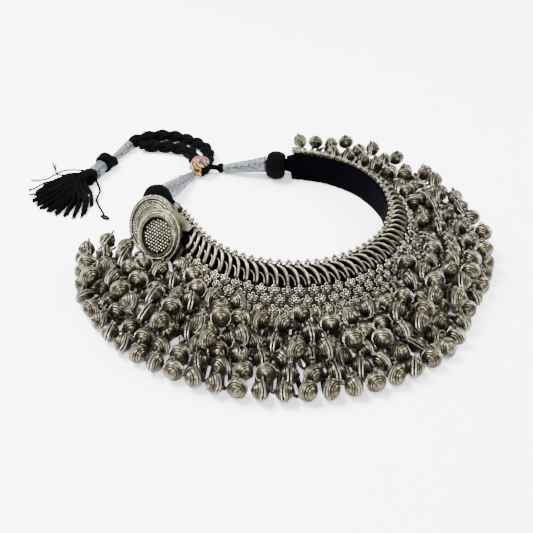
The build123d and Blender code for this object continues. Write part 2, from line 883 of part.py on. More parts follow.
far_knot_centre = behind_neck(*far_knot_place)
with BuildPart() as far_wrap:
    add(wrap(far_bulb_place, far_heading, far_tip_place, far_wrap_radii))
    add(ball(far_knot_centre, far_knot_radius + cloth_gap), mode=Mode.SUBTRACT)
write(far_wrap, "far_wrap")

with BuildPart() as far_cord:
    add(ball(far_knot_centre, far_knot_radius))
    add(rod(far_knot_centre, bead_centre, far_cord_radius, far_cord_radius))
    add(bead_room, mode=Mode.SUBTRACT)
write(far_cord, "far_cord")

with BuildPart() as outer_rope:
    add(rope(outer_rope_points, "outer_rope"))
    add(bead_room, mode=Mode.SUBTRACT)
write(outer_rope, "outer_rope")

with BuildPart() as inner_rope:
    add(rope(inner_rope_points, "inner_rope"))
    add(bead_room, mode=Mode.SUBTRACT)
write(inner_rope, "inner_rope")

small_knot_centre = Vector(*behind_neck(*small_knot_place))
large_knot_centre = Vector(*behind_neck(*large_knot_place))
with BuildPart() as upper_wrap:
    add(rod(behind_neck(*upper_wrap_start), behind_neck(*upper_wrap_tip), *upper_wrap_radii))
    add(ball(small_knot_centre, small_knot_radius + cloth_gap), mode=Mode.SUBTRACT)
write(upper_wrap, "upper_wrap")

# The knot is turned about the line through its two lumps
knot_way = large_knot_centre - small_knot_centre
knot_plane = Plane(origin=small_knot_centre, x_dir=knot_way, z_dir=knot_way.cross(Vector(0, 0, 1)))
knot_half = small_knot_radius + knot_way.length + large_knot_radius
with BuildPart() as tassel_knot:
    with BuildSketch(knot_plane):
        Circle(small_knot_radius)
        with Locations((knot_way.length, 0)):
            Circle(large_knot_radius)
        Rectangle(2 * knot_half, knot_half, align=(Align.CENTER, Align.MAX), mode=Mode.SUBTRACT)
    revolve(axis=Axis(small_knot_centre, knot_way))
write(tassel_knot, "tassel_knot")

with BuildPart() as lower_wrap:
    add(rod(large_knot_centre, behind_neck(*lower_wrap_end), lower_wrap_radius, lower_wrap_radius))
    add(ball(large_knot_centre, large_knot_radius + cloth_gap), mode=Mode.SUBTRACT)
write(lower_wrap, "lower_wrap")

tassel_head_centre = behind_neck(*tassel_head_place)
with BuildPart() as tassel:
    add(ball(tassel_head_centre, tassel_head_radius))
    for lock_heading, lock_share in tassel_locks:
        lock_angle = math.radians(lock_heading)
        lock_length = lock_share * tassel_length
        lock_tip = (
            tassel_head_centre[0] + lock_length * math.cos(lock_angle),
            tassel_head_centre[1] + lock_length * math.sin(lock_angle),
            lock_tip_radius + cloth_gap,
        )
        add(rod(tassel_head_centre, lock_tip, lock_root_radius, lock_tip_radius))
write(tassel, "tassel")
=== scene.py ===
import math
import random
import bmesh
import bpy
import numpy as np
from mathutils import Matrix, Vector


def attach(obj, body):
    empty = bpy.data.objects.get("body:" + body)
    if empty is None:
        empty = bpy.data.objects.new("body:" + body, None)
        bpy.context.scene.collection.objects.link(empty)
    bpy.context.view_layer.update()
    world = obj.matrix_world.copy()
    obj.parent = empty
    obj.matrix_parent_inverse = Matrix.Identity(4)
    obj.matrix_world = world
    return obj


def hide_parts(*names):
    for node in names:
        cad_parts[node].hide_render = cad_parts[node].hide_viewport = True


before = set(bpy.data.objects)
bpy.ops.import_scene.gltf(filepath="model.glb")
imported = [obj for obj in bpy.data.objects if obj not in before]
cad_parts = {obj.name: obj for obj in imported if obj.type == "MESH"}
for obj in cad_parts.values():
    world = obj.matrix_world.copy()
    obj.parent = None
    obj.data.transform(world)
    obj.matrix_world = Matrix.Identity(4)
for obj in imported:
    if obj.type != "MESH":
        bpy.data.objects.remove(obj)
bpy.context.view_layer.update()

# Velvet band: a firm roll of padding, cut as a wedge and covered with black velvet.
# It is drawn in to a round tail at both ends and stands on its flat underside.
velvet_grid = 0.0011
velvet_smoothing = 9
velvet_waves = 14
velvet_swell = 0.00044
velvet_seed = 3
same_spot = 0.000001


def set_inputs(tree, node, inputs):
    """Set a node's inputs to values, or join them to the outputs of other nodes."""
    for name, value in inputs.items():
        if isinstance(value, bpy.types.NodeSocket):
            tree.links.new(value, node.inputs[name])
        else:
            node.inputs[name].default_value = value


def new_node(tree, kind, inputs, **settings):
    """A new node in a tree, with its settings and its inputs."""
    node = tree.nodes.new(kind)
    for name, value in settings.items():
        setattr(node, name, value)
    set_inputs(tree, node, inputs)
    return node


def finish_of(name, colour, roughness, metallic=0.0):
    """A new surface finish: its material, its node tree and its shader."""
    material = bpy.data.materials.new(name)
    material.use_nodes = True
    tree = material.node_tree
    shader = tree.nodes["Principled BSDF"]
    set_inputs(tree, shader, {"Base Color": (*colour, 1), "Roughness": roughness, "Metallic": metallic})
    return material, tree, shader


def own_place(tree):
    """The place of each spot on the piece itself."""
    return tree.nodes.new("ShaderNodeTexCoord").outputs["Object"]


def mottling(tree, scale, detail):
    """Noise over the piece itself, for colour, wear and small relief."""
    return new_node(tree, "ShaderNodeTexNoise",
                    {"Vector": own_place(tree), "Scale": scale, "Detail": detail}).outputs["Fac"]


def shades(tree, factor, stops):
    """Colours along a factor: stops are (position, (r, g, b))."""
    ramp = new_node(tree, "ShaderNodeValToRGB", {"Fac": factor})
    elements = ramp.color_ramp.elements
    for end in (0, -1):
        elements[end].position = stops[end][0]
        elements[end].color = (*stops[end][1], 1)
    for position, colour in stops[1:-1]:
        elements.new(position).color = (*colour, 1)
    return ramp.outputs["Color"]


def relief(tree, shader, height, depth, strength):
    """Small relief from a height; a second call adds to the first."""
    bump = new_node(tree, "ShaderNodeBump", {"Height": height, "Distance": depth, "Strength": strength})
    normal = shader.inputs["Normal"]
    if normal.is_linked:
        tree.links.new(normal.links[0].from_socket, bump.inputs["Normal"])
    tree.links.new(bump.outputs["Normal"], normal)


def put_in_scene(name, data):
    thing = bpy.data.objects.new(name, data)
    bpy.context.scene.collection.objects.link(thing)
    return thing


def add_piece(name, mesh, slot_name, *replaced):
    """Put a finished mesh in the scene as a piece of the choker."""
    piece = put_in_scene(name, mesh)
    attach(piece, "root")
    if replaced:
        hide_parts(*replaced)
    return piece


def plain_copy(carrier):
    """The mesh of an object with its modifiers worked in; the object is taken away."""
    depsgraph = bpy.context.evaluated_depsgraph_get()
    mesh = bpy.data.meshes.new_from_object(carrier.evaluated_get(depsgraph))
    bpy.data.objects.remove(carrier)
    return mesh


black_velvet, tree, shader = finish_of("black_velvet", (0.0004, 0.0004, 0.0008), 0.95)
nap = shades(tree, mottling(tree, 70, 6), [(0.3, (0.0002, 0.0002, 0.0005)), (0.7, (0.0006, 0.0006, 0.0014))])
set_inputs(tree, shader, {"Base Color": nap, "Sheen Weight": 0.003, "Sheen Roughness": 0.5,
                          "Sheen Tint": (0.2, 0.22, 0.42, 1), "Specular IOR Level": 0.01})
relief(tree, shader, mottling(tree, 2600, 2), 0.0003, 0.6)

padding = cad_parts["velvet_band"].data.copy()
solid = bmesh.new()
solid.from_mesh(padding)
bmesh.ops.remove_doubles(solid, verts=solid.verts, dist=same_spot)
solid.to_mesh(padding)
solid.free()
carrier = put_in_scene("velvet_band_padding", padding)
remesh = carrier.modifiers.new("even", "REMESH")
remesh.mode = "VOXEL"
remesh.voxel_size = velvet_grid
smooth = carrier.modifiers.new("soft", "SMOOTH")
smooth.factor = 0.5
smooth.iterations = velvet_smoothing
band_mesh = plain_copy(carrier)
uneven = random.Random(velvet_seed)
waves = [(uneven.uniform(90, 420), uneven.uniform(0, 6.3),
          Vector((uneven.gauss(0, 1), uneven.gauss(0, 1), uneven.gauss(0, 1))).normalized())
         for _ in range(velvet_waves)]
for vertex in band_mesh.vertices:
    swell = sum(math.sin(rate * vertex.co.dot(way) + phase) for rate, phase, way in waves) / velvet_waves
    vertex.co += vertex.normal * (velvet_swell * swell)
    vertex.co.z = max(vertex.co.z, 0.0)
band_mesh.materials.clear()
band_mesh.materials.append(black_velvet)
band_mesh.shade_smooth()
band = add_piece("velvet_collar_band", band_mesh, "velvet", "velvet_band")

# Silver top edge: two thin binding wires along the rim of the band, and clusters of four
# granules, set as a cross, stitched down between them at an even spacing.
neck_radius = 0.0584
near_turn = math.radians(102.0)
near_arc = neck_radius * near_turn
mesh_far_along = neck_radius * math.radians(130.0)
band_height = 0.0205
band_top_land = 0.0008
shoulder_length = 0.013
shoulder = math.radians(33.7)
skirt = math.radians(57.8)
cloth_gap = 0.0003
table_gap = 0.0001
edge_straight = 0.024
edge_step = 0.0023
edge_wire = 0.00026
edge_wire_spots = ((-0.0007, 0.0007), (0.0016, 0.0006))
cluster_pitch = 0.0050
cluster_down = 0.0004
granule_radius = 0.00108
granule_lift = 0.0011
granule_cross = (
    # across, up, lift and size of each granule in a cluster, in granule radii
    (0.0, 1.3, 0.2, 1.05), (-1.0, 0.0, 0.1, 0.95), (1.0, 0.0, 0.1, 0.95), (0.0, -1.25, 0.0, 0.95),
)
upright = Vector((0, 0, 1))


def collar_directions(along):
    """The outward and the forward direction at a length along the inner wall."""
    turn = max(along / neck_radius, -near_turn)
    return Vector((math.sin(turn), -math.cos(turn), 0)), Vector((math.cos(turn), math.sin(turn), 0))


def collar_point(along, out, height):
    """A point by its length along the inner wall, its distance out from it and its height."""
    turn = max(along / neck_radius, -near_turn)
    outward, forward = collar_directions(along)
    return outward * (neck_radius + out) + forward * (along - neck_radius * turn) + upright * height


def slope_point(down, lift):
    """Distance out and height of a point on the band's slope, lifted off the velvet."""
    out, height, angle = band_top_land, band_height, shoulder
    if down >= shoulder_length:
        out += shoulder_length * math.cos(shoulder)
        height -= shoulder_length * math.sin(shoulder)
        down, angle = down - shoulder_length, skirt
    return (out + down * math.cos(angle) + lift * math.sin(angle),
            height - down * math.sin(angle) + lift * math.cos(angle))


def leaning(outward, angle):
    """The upright direction leant outwards by an angle."""
    return outward * math.sin(angle) + upright * math.cos(angle)


def slope_place(along, down, lift):
    """Where a small piece sits on the slope: its origin, the way along the collar and the way off it."""
    outward, forward = collar_directions(along)
    angle = shoulder if down < shoulder_length else skirt
    return collar_point(along, *slope_point(down, lift)), forward, leaning(outward, angle)


def spots_along(pitch, near_end):
    """Lengths along the inner wall at an even pitch, from the far end of the mesh to a near end."""
    return [mesh_far_along - (i + 0.5) * pitch for i in range(int((mesh_far_along + near_end) / pitch))]


def new_form():
    return {"points": [], "faces": [], "uv": [], "shade_and_patina": [], "wire": []}


def add_point(form, point, shade_and_patina):
    form["points"].append(point)
    form["shade_and_patina"].append(shade_and_patina)


def add_face(form, corners, uv, wire=False):
    form["faces"].append(corners)
    form["uv"].extend(uv)
    form["wire"].append(wire)


def add_turned(form, profile, steps, place, wire=False):
    """A form turned about the X axis of its place. Profile rows are (x falling, radius, darkness of painted
    shade and patina).
    """
    rows = []
    for x, radius, shade_and_patina in profile:
        count = 1 if radius < 1e-7 else steps
        rows.append((len(form["points"]), count))
        for k in range(count):
            angle = 2 * math.pi * k / steps
            add_point(form, place @ Vector((x, radius * math.cos(angle), radius * math.sin(angle))), shade_and_patina)
    total = len(rows) - 1
    for i, ((a, count_a), (b, count_b)) in enumerate(zip(rows, rows[1:])):
        v0, v1 = i / total, (i + 1) / total
        for k in range(steps):
            n = (k + 1) % steps
            u0, u1 = k / steps, (k + 1) / steps
            if count_a == 1 and count_b > 1:
                add_face(form, (a, b + k, b + n), ((u0, v0), (u0, v1), (u1, v1)), wire)
            elif count_b == 1 and count_a > 1:
                add_face(form, (a + k, b, a + n), ((u0, v0), (u0, v1), (u1, v0)), wire)
            elif count_a > 1:
                uv = ((u0, v0), (u0, v1), (u1, v1), (u1, v0))
                add_face(form, (a + k, b + k, b + n, a + n), uv, wire)


def add_wire(form, path, radii, sides, shade_and_patina=0.0, squash=1.0):
    """A wire, thread or strip along a path, closed at both ends, with one radius or one a point."""
    side = None
    count = len(path)
    start = len(form["points"])
    radii = [radii] * count if isinstance(radii, float) else radii
    lengths = [0.0]
    for i, point in enumerate(path):
        way = (path[min(i + 1, count - 1)] - path[max(i - 1, 0)]).normalized()
        if side is None:
            side = way.cross(upright if abs(way.z) < 0.9 else Vector((1, 0, 0))).normalized()
        side = (side - way * side.dot(way)).normalized()
        lift = side.cross(way)
        if i:
            lengths.append(lengths[-1] + (point - path[i - 1]).length)
        for j in range(sides):
            angle = 2 * math.pi * j / sides
            offset = side * math.cos(angle) + lift * (squash * math.sin(angle))
            add_point(form, point + offset * radii[i], shade_and_patina)
    for i in range(count - 1):
        for j in range(sides):
            n = (j + 1) % sides
            corners = [start + row * sides + spot for row, spot in ((i + 1, j), (i + 1, n), (i, n), (i, j))]
            u0, u1 = j / sides, (j + 1) / sides
            v0, v1 = lengths[i] * 1000, lengths[i + 1] * 1000
            add_face(form, corners, ((u0, v1), (u1, v1), (u1, v0), (u0, v0)))
    for end, first in ((0, start), (count - 1, start + (count - 1) * sides)):
        middle = len(form["points"])
        add_point(form, path[end].copy(), shade_and_patina)
        for j in range(sides):
            edge = (first + (j + 1) % sides, first + j)
            add_face(form, (middle, *(edge if end else edge[::-1])), ((0.5, 0.5), (0, 0), (1, 0)))


def form_mesh(form, name, material=None):
    """A mesh of a form, with its facing made sure, its marks of painted shade and patina and of wire, and its
    UV map.
    """
    mesh = bpy.data.meshes.new(name)
    mesh.from_pydata(form["points"], [], form["faces"])
    layer = mesh.uv_layers.new(name="UVMap")
    layer.data.foreach_set("uv", [value for pair in form["uv"] for value in pair])
    for mark, kind, domain in (("shade_and_patina", "FLOAT", "POINT"), ("wire", "BOOLEAN", "FACE")):
        mesh.attributes.new(mark, kind, domain).data.foreach_set("value", form[mark])
    facing = bmesh.new()
    facing.from_mesh(mesh)
    bmesh.ops.recalc_face_normals(facing, faces=facing.faces)
    facing.to_mesh(mesh)
    facing.free()
    if material:
        mesh.materials.append(material)
    mesh.shade_smooth()
    return mesh


def keep_off_table(points):
    """Lift any point that is lower than just above the table."""
    for point in points:
        point.z = max(point.z, table_gap)


def add_form(name, form, finish, slot_name, *replaced):
    """Add a form as a piece of the choker, clear of the table."""
    keep_off_table(form["points"])
    return add_piece(name, form_mesh(form, name, finish), slot_name, *replaced)


def set_out(name, form, places, size, unevenness, seed, finish, slot_name, *replaced):
    """Add a piece of copies of a small form at given places, each a little uneven, as one plain mesh."""
    pattern = put_in_scene(name + "_pattern", form_mesh(form, name + "_pattern"))
    points = bpy.data.meshes.new(name + "_places")
    points.from_pydata([place[0] for place in places], [], [])
    for column, label in ((1, "across"), (2, "proud")):
        ways = [value for place in places for value in place[column]]
        points.attributes.new(label, "FLOAT_VECTOR", "POINT").data.foreach_set("vector", ways)
    carrier = put_in_scene(name + "_carrier", points)
    tree = bpy.data.node_groups.new(name + "_rows", "GeometryNodeTree")
    given = {}
    for label, kind, value in (("Places", "Geometry", None), ("Pattern", "Object", pattern),
                               ("Size", "Float", size), ("Unevenness", "Float", unevenness),
                               ("Seed", "Int", seed)):
        socket = tree.interface.new_socket(label, in_out="INPUT", socket_type="NodeSocket" + kind)
        given[socket.identifier] = value
    tree.interface.new_socket("Rows", in_out="OUTPUT", socket_type="NodeSocketGeometry")
    start = tree.nodes.new("NodeGroupInput").outputs
    info = new_node(tree, "GeometryNodeObjectInfo", {"Object": start["Pattern"]})
    named = {label: new_node(tree, "GeometryNodeInputNamedAttribute", {"Name": label}, data_type=kind)
             for label, kind in (("across", "FLOAT_VECTOR"), ("proud", "FLOAT_VECTOR"), ("wire", "BOOLEAN"))}
    aim = new_node(tree, "FunctionNodeAxesToRotation",
                   {"Primary Axis": named["proud"].outputs["Attribute"],
                    "Secondary Axis": named["across"].outputs["Attribute"]},
                   primary_axis="Z", secondary_axis="X")
    copies = new_node(tree, "GeometryNodeInstanceOnPoints",
                      {"Points": start["Places"], "Instance": info.outputs["Geometry"],
                       "Rotation": aim.outputs["Rotation"], "Scale": start["Size"]})
    chance = new_node(tree, "FunctionNodeRandomValue",
                      {"Min": (-1, -1, -1), "Max": (1, 1, 1), "Seed": start["Seed"]}, data_type="FLOAT_VECTOR")
    tilt = new_node(tree, "ShaderNodeVectorMath",
                    {0: chance.outputs["Value"], "Scale": start["Unevenness"]}, operation="SCALE")
    turned = new_node(tree, "GeometryNodeRotateInstances",
                      {"Instances": copies.outputs["Instances"], "Rotation": tilt.outputs["Vector"]})
    real = new_node(tree, "GeometryNodeRealizeInstances", {"Geometry": turned.outputs["Instances"]})
    cover = new_node(tree, "GeometryNodeSetMaterial",
                     {"Geometry": real.outputs["Geometry"], "Material": finish})
    cover_wire = new_node(tree, "GeometryNodeSetMaterial",
                          {"Geometry": cover.outputs["Geometry"], "Material": silver_twist,
                           "Selection": named["wire"].outputs["Attribute"]})
    new_node(tree, "NodeGroupOutput", {"Rows": cover_wire.outputs["Geometry"]})
    rows = carrier.modifiers.new("rows", "NODES")
    rows.node_group = tree
    for identifier, value in given.items():
        if value is not None:
            rows[identifier] = value
    mesh = plain_copy(carrier)
    bpy.data.objects.remove(pattern)
    mesh.name = name
    return add_piece(name, mesh, slot_name, *replaced)


def mixed(tree, share, first, second, blend="MIX"):
    """A colour mixed with another, or multiplied by it."""
    return new_node(tree, "ShaderNodeMixRGB", {"Fac": share, "Color1": first, "Color2": second},
                    blend_type=blend).outputs["Color"]


def stripes(tree, place, spread, turn, scale, distortion, detail=2.0, direction="X"):
    """Wavy stripes over a piece, from a place that is stretched and turned."""
    laid = new_node(tree, "ShaderNodeMapping", {"Vector": place, "Scale": spread, "Rotation": turn})
    return new_node(tree, "ShaderNodeTexWave",
                    {"Vector": laid.outputs["Vector"], "Scale": scale, "Distortion": distortion,
                     "Detail": detail}, bands_direction=direction).outputs["Fac"]


def unrolled(tree):
    """The place of each spot round and along a turned form or a thread."""
    return tree.nodes.new("ShaderNodeUVMap").outputs["UV"]


def worn_and_shaded_silver(name, dark, middle, bright, roughness):
    """Oxidised white metal, mottled with tarnish and polish, and near black where its points are marked dark:
    painted shade in recesses and between parts, with the patina there.
    """
    material, tree, shader = finish_of(name, middle, roughness, 1.0)
    tarnish = mottling(tree, 420, 5)
    colours = shades(tree, tarnish, [(0.28, dark), (0.5, middle), (0.72, bright)])
    hollow_shade_and_patina = new_node(tree, "ShaderNodeAttribute", {}, attribute_name="shade_and_patina").outputs["Fac"]
    rough = new_node(tree, "ShaderNodeMapRange",
                     {"Value": tarnish, "From Min": 0.3, "From Max": 0.75,
                      "To Min": roughness + 0.16, "To Max": roughness - 0.06})
    # the near black mixed in by the point mark is painted shade in recesses and between parts, with the real
    # patina there
    set_inputs(tree, shader, {"Base Color": mixed(tree, hollow_shade_and_patina, colours, (0.006, 0.005, 0.0035, 1)),
                              "Roughness": rough.outputs["Result"]})
    relief(tree, shader, mottling(tree, 1500, 3), 0.0001, 0.35)
    return material


# blackened silver; the rosette backing, the dish floor and the fringe chains carry it as painted shade
blackened_and_shade_silver = worn_and_shaded_silver("blackened_silver_and_shade", (0.010, 0.009, 0.006), (0.026, 0.023, 0.017),
                          (0.07, 0.063, 0.048), 0.45)
pale_silver = worn_and_shaded_silver("pale_silver", (0.055, 0.048, 0.033), (0.135, 0.122, 0.086),
                          (0.27, 0.25, 0.185), 0.32)

# two wires twisted together and soldered down: slanting stripes along the twist, bright as painted highlight on
# the strands and dark as painted shade in the grooves between them
twist_highlight = (0.40, 0.378, 0.305)
silver_twist, tree, shader = finish_of("twisted_silver_wire", twist_highlight, 0.32, 1.0)
twist = stripes(tree, unrolled(tree), (46, 2.0, 1.0), (0, 0, 0.35), 1.0, 0.6)
twist_painted_shading = shades(tree, twist, [(0.1, (0.009, 0.0075, 0.005)), (0.75, twist_highlight)])
set_inputs(tree, shader, {"Base Color": twist_painted_shading})
relief(tree, shader, twist, 0.0003, 0.8)

edge_form = new_form()
edge_count = int((mesh_far_along + near_arc + edge_straight) / edge_step)
for down, lift in edge_wire_spots:
    path = [collar_point(mesh_far_along - i * edge_step, *slope_point(down, lift))
            for i in range(edge_count + 1)]
    add_wire(edge_form, path, edge_wire, 6, shade_and_patina=0.3)
add_form("top_edge_binding_wires", edge_form, blackened_and_shade_silver, "silver", "top_edge")

granule_form = new_form()
granule_profile = [(1.0, 0.0, 0), (0.72, 0.69, 0), (0.1, 0.995, 0), (-0.55, 0.83, 0.6), (-1.0, 0.0, 1)]
turn_up = Matrix.Rotation(-math.pi / 2, 4, "Y")
for x, y, lift, scale in granule_cross:
    where = Matrix.Translation(Vector((x, y, lift)) * granule_radius)
    add_turned(granule_form, granule_profile, 9, where @ turn_up @ Matrix.Scale(granule_radius * scale, 4))
cluster_places = [slope_place(along, cluster_down, cloth_gap + granule_lift)
                  for along in spots_along(cluster_pitch, near_arc + edge_straight)]
set_out("top_edge_granules", granule_form, cluster_places, 1.0, 0.16, 5, pale_silver, "silver")

# Link row: heavy bent wire links, one beside the other down the shoulder of the band. Each runs
# over to the right and down as a quarter arch, with a smaller arch under it.
link_row_straight = 0.006
link_pitch = 0.0047
link_wire = 0.00094
link_reach = 0.0082
link_shift = 0.0041
link_top = 0.0016
link_foot = 0.0128
link_lift = 0.0007
link_arch = 0.0012
small_link_wire = 0.00052
small_link_top = 0.0068
small_link_reach = 0.0040
small_link_shift = 0.001655
small_link_lift = 0.0005


def arc_points(centre, across, up, first, last, steps):
    """Points along an arc, from one angle in degrees to another."""
    angles = [math.radians(first + (last - first) * i / steps) for i in range(steps + 1)]
    return [centre + across * math.cos(angle) + up * math.sin(angle) for angle in angles]


link_middle = (link_top + link_foot) / 2
link_form = new_form()
main_wire = arc_points(Vector((-link_shift, link_middle - link_foot, link_lift)),
                       Vector((0, link_foot - link_top, 0)), Vector((link_reach, 0, 0)), 8, 92, 12)
bulge = [math.sin(math.pi * i / 12) for i in range(13)]
main_wire = [point + upright * (link_arch * rise) for point, rise in zip(main_wire, bulge)]
add_wire(link_form, main_wire, [link_wire * (0.84 + 0.24 * rise) for rise in bulge], 8)
small_wire = arc_points(Vector((-small_link_shift, link_middle - link_foot, small_link_lift)),
                        Vector((0, link_foot - small_link_top, 0)), Vector((small_link_reach, 0, 0)),
                        -14, 90, 9)
# the smaller arch is marked darker: painted shade under the main arch
add_wire(link_form, small_wire, small_link_wire, 7, shade_and_patina=0.15)
link_places = [slope_place(along, link_middle, cloth_gap)
               for along in spots_along(link_pitch, near_arc + link_row_straight)]
set_out("shoulder_links", link_form, link_places, 1.0, 0.05, 8, pale_silver, "silver", "link_row")

# Rosettes: three staggered rows of small flowers on the skirt of the band, each of five rings
# soldered round a granule, on a blackened backing that ties one row to the next. The
# backing's dark in the gaps between the rosettes is painted shade.
rosette_near_along = neck_radius * math.radians(99.0)
rosette_rows = 3
rosette_pitch_down = 0.0053
rosette_count = 41
rosette_size = 1.28
rosette_scatter = 0.0003
rosette_lift = 0.0011
rosette_top = shoulder_length - 0.0003
rosette_seed = 21
petals = 5
petal_ring = 0.00070
petal_wire = 0.00030
petal_away = 0.00172
petal_tilt = 0.3
rosette_granule = 0.00088
foot_ring = 0.0012
foot_wire = 0.0003
foot_drop = 0.0004
heart_lift = 0.0003
backing_top = 0.0135
backing_foot = 0.0284
backing_lift = 0.0004
backing_thickness = 0.0004
backing_steps = 120


def add_ring(form, place, radius, wire_radius, steps, sides, shade_and_patina=0.0):
    """A closed wire ring about the Z axis of its place, with painted shade on its inner side."""
    start = len(form["points"])
    for i in range(steps):
        turn = 2 * math.pi * i / steps
        for j in range(sides):
            angle = 2 * math.pi * j / sides
            across = radius + wire_radius * math.cos(angle)
            point = Vector((across * math.cos(turn), across * math.sin(turn), wire_radius * math.sin(angle)))
            # the inner side of the wire is marked darker: painted shade inside the ring
            add_point(form, place @ point, shade_and_patina + (0.5 if math.cos(angle) < -0.5 else 0.0))
    for i in range(steps):
        for j in range(sides):
            m, n = (i + 1) % steps, (j + 1) % sides
            corners = [start + row * sides + spot for row, spot in ((i, j), (m, j), (m, n), (i, n))]
            u0, u1, v0, v1 = i / steps, (i + 1) / steps, j / sides, (j + 1) / sides
            add_face(form, corners, ((u0, v0), (u1, v0), (u1, v1), (u0, v1)))


rubbed_silver = worn_and_shaded_silver("rubbed_silver", (0.09, 0.082, 0.06), (0.27, 0.25, 0.197),
                            (0.52, 0.495, 0.41), 0.27)
flower_form = new_form()
for k in range(petals):
    angle = 2 * math.pi * k / petals + math.pi / 2
    petal = Matrix.Translation((petal_away * math.cos(angle), petal_away * math.sin(angle), 0.0))
    outward_tilt = Matrix.Rotation(angle, 4, "Z") @ Matrix.Rotation(petal_tilt, 4, "Y")
    add_ring(flower_form, petal @ outward_tilt, petal_ring, petal_wire, 8, 5)
heart = Matrix.Translation((0, 0, heart_lift)) @ turn_up @ Matrix.Scale(rosette_granule, 4)
add_turned(flower_form, granule_profile, 8, heart)
# the foot ring under each flower is marked darkest: painted shade beneath the rosette
add_ring(flower_form, Matrix.Translation((0, 0, -foot_drop)), foot_ring, foot_wire, 8, 4, shade_and_patina=1.0)
flower_places = []
scatter = random.Random(rosette_seed)
spread = (mesh_far_along + rosette_near_along) / rosette_count
for row in range(rosette_rows):
    down = rosette_top + rosette_pitch_down * (row + 0.5)
    stagger, lift = (0.25, 0.0002) if row % 2 else (-0.25, 0.0)
    for i in range(rosette_count):
        along = mesh_far_along - (i + 0.5 + stagger) * spread
        along += scatter.uniform(-rosette_scatter, rosette_scatter)
        at = max(down + scatter.uniform(-rosette_scatter, rosette_scatter), shoulder_length)
        flower_places.append(slope_place(along, at, cloth_gap + rosette_lift + lift))
set_out("skirt_rosettes", flower_form, flower_places, rosette_size, 0.2, rosette_seed, rubbed_silver,
        "silver", "rosette_band")

# the backing is blackened and marked dark: painted shade in the gaps between the rosettes
backing_shade_form = new_form()
square = ((0, 0), (1, 0), (1, 1), (0, 1))
for i in range(backing_steps + 1):
    along = mesh_far_along - (mesh_far_along + rosette_near_along) * i / backing_steps
    for down, lift in ((backing_top, 0), (backing_foot, 0), (backing_foot, 1), (backing_top, 1)):
        height = backing_lift + lift * backing_thickness
        add_point(backing_shade_form, collar_point(along, *slope_point(down, height)), 0.5)
for i in range(backing_steps):
    for j in range(4):
        a, b = i * 4 + j, i * 4 + (j + 1) % 4
        add_face(backing_shade_form, (a, b, b + 4, a + 4), square)
last = backing_steps * 4
add_face(backing_shade_form, (0, 3, 2, 1), square)
add_face(backing_shade_form, (last, last + 1, last + 2, last + 3), square)
add_form("rosette_backing", backing_shade_form, blackened_and_shade_silver, "silver").data.shade_flat()

# Strip loops: thick bent hooks hang from the lowest rosettes and carry flat silver strips bent
# into long loops. They lie out over the surface, chained end to end on rings, for the bells;
# those chained strips are blackened, as painted shade on the table under the fringe.
loop_row_height = 0.013
loop_tilt = math.radians(12.0)
loop_lift = 0.0009
loop_half_thickness = 0.00075
loop_pitch = 0.0062
loop_half_width = 0.0021
loop_strip = 0.0012
loop_ring = 0.0014
loop_ring_wire = 0.0003
row_gap = 0.00035
rosette_foot = shoulder_length + row_gap + rosette_rows * 0.0051
loop_inner_out = slope_point(rosette_foot, cloth_gap + 0.0017)[0] + row_gap
hook_wire = 0.00056
hook_out = 0.0008
hook_height = 0.0030
hook_lean = 0.25
chain_pitch = 0.0036
chain_step = 0.0070
chain_height = 0.0013
chain_rise = 0.0030
chain_strip = 0.0026
chain_start = 0.0290
chain_past_band = 0.022
chain_past_reach = 0.004
chain_seed = 15
fringe_reach = 0.085
far_arc = neck_radius * math.radians(135.5)
chain_reach = (
    # share of the collar's far half, share of the fringe's depth
    (-1.03, 0.60), (-0.88, 0.72), (-0.60, 0.84), (-0.40, 0.86), (-0.17, 0.84), (-0.04, 0.78),
    (0.06, 0.66), (0.22, 0.68), (0.33, 0.60), (0.45, 0.52), (0.66, 0.45), (1.00, 0.42),
)

silver = worn_and_shaded_silver("oxidised_silver", (0.024, 0.021, 0.013), (0.068, 0.060, 0.041),
                     (0.155, 0.142, 0.102), 0.3)
loop_form = new_form()
straight_half = loop_row_height / 2 - loop_half_width - 0.0004
loop_x, loop_y = Vector((loop_half_width, 0, 0)), Vector((0, loop_half_width, 0))
outline = arc_points(Vector((0, straight_half, 0)), loop_x, loop_y, 0, 180, 8)
outline += arc_points(Vector((0, -straight_half, 0)), loop_x, loop_y, 180, 360, 8)
add_wire(loop_form, outline + outline[:1], loop_strip * 0.5, 6, squash=1.3)
for y, tip in ((-straight_half - 0.0016, 0.6), (straight_half + 0.001, -0.5)):
    where = Matrix.Translation((0, y, 0.0005)) @ Matrix.Rotation(tip, 4, "X") @ Matrix.Rotation(1.2, 4, "Y")
    add_ring(loop_form, where, loop_ring, loop_ring_wire, 10, 5, shade_and_patina=0.1)
loop_places = []
for along in spots_along(loop_pitch, rosette_near_along):
    outward, forward = collar_directions(along)
    away = loop_row_height / 2
    out = loop_inner_out + away * math.cos(loop_tilt) - loop_half_thickness * math.sin(loop_tilt)
    height = loop_lift + away * math.sin(loop_tilt) + loop_half_thickness * math.cos(loop_tilt)
    loop_places.append((collar_point(along, out, height), forward, leaning(outward, -loop_tilt)))
set_out("strip_loops", loop_form, loop_places, 1.0, 0.1, 14, silver, "silver", "loop_row")

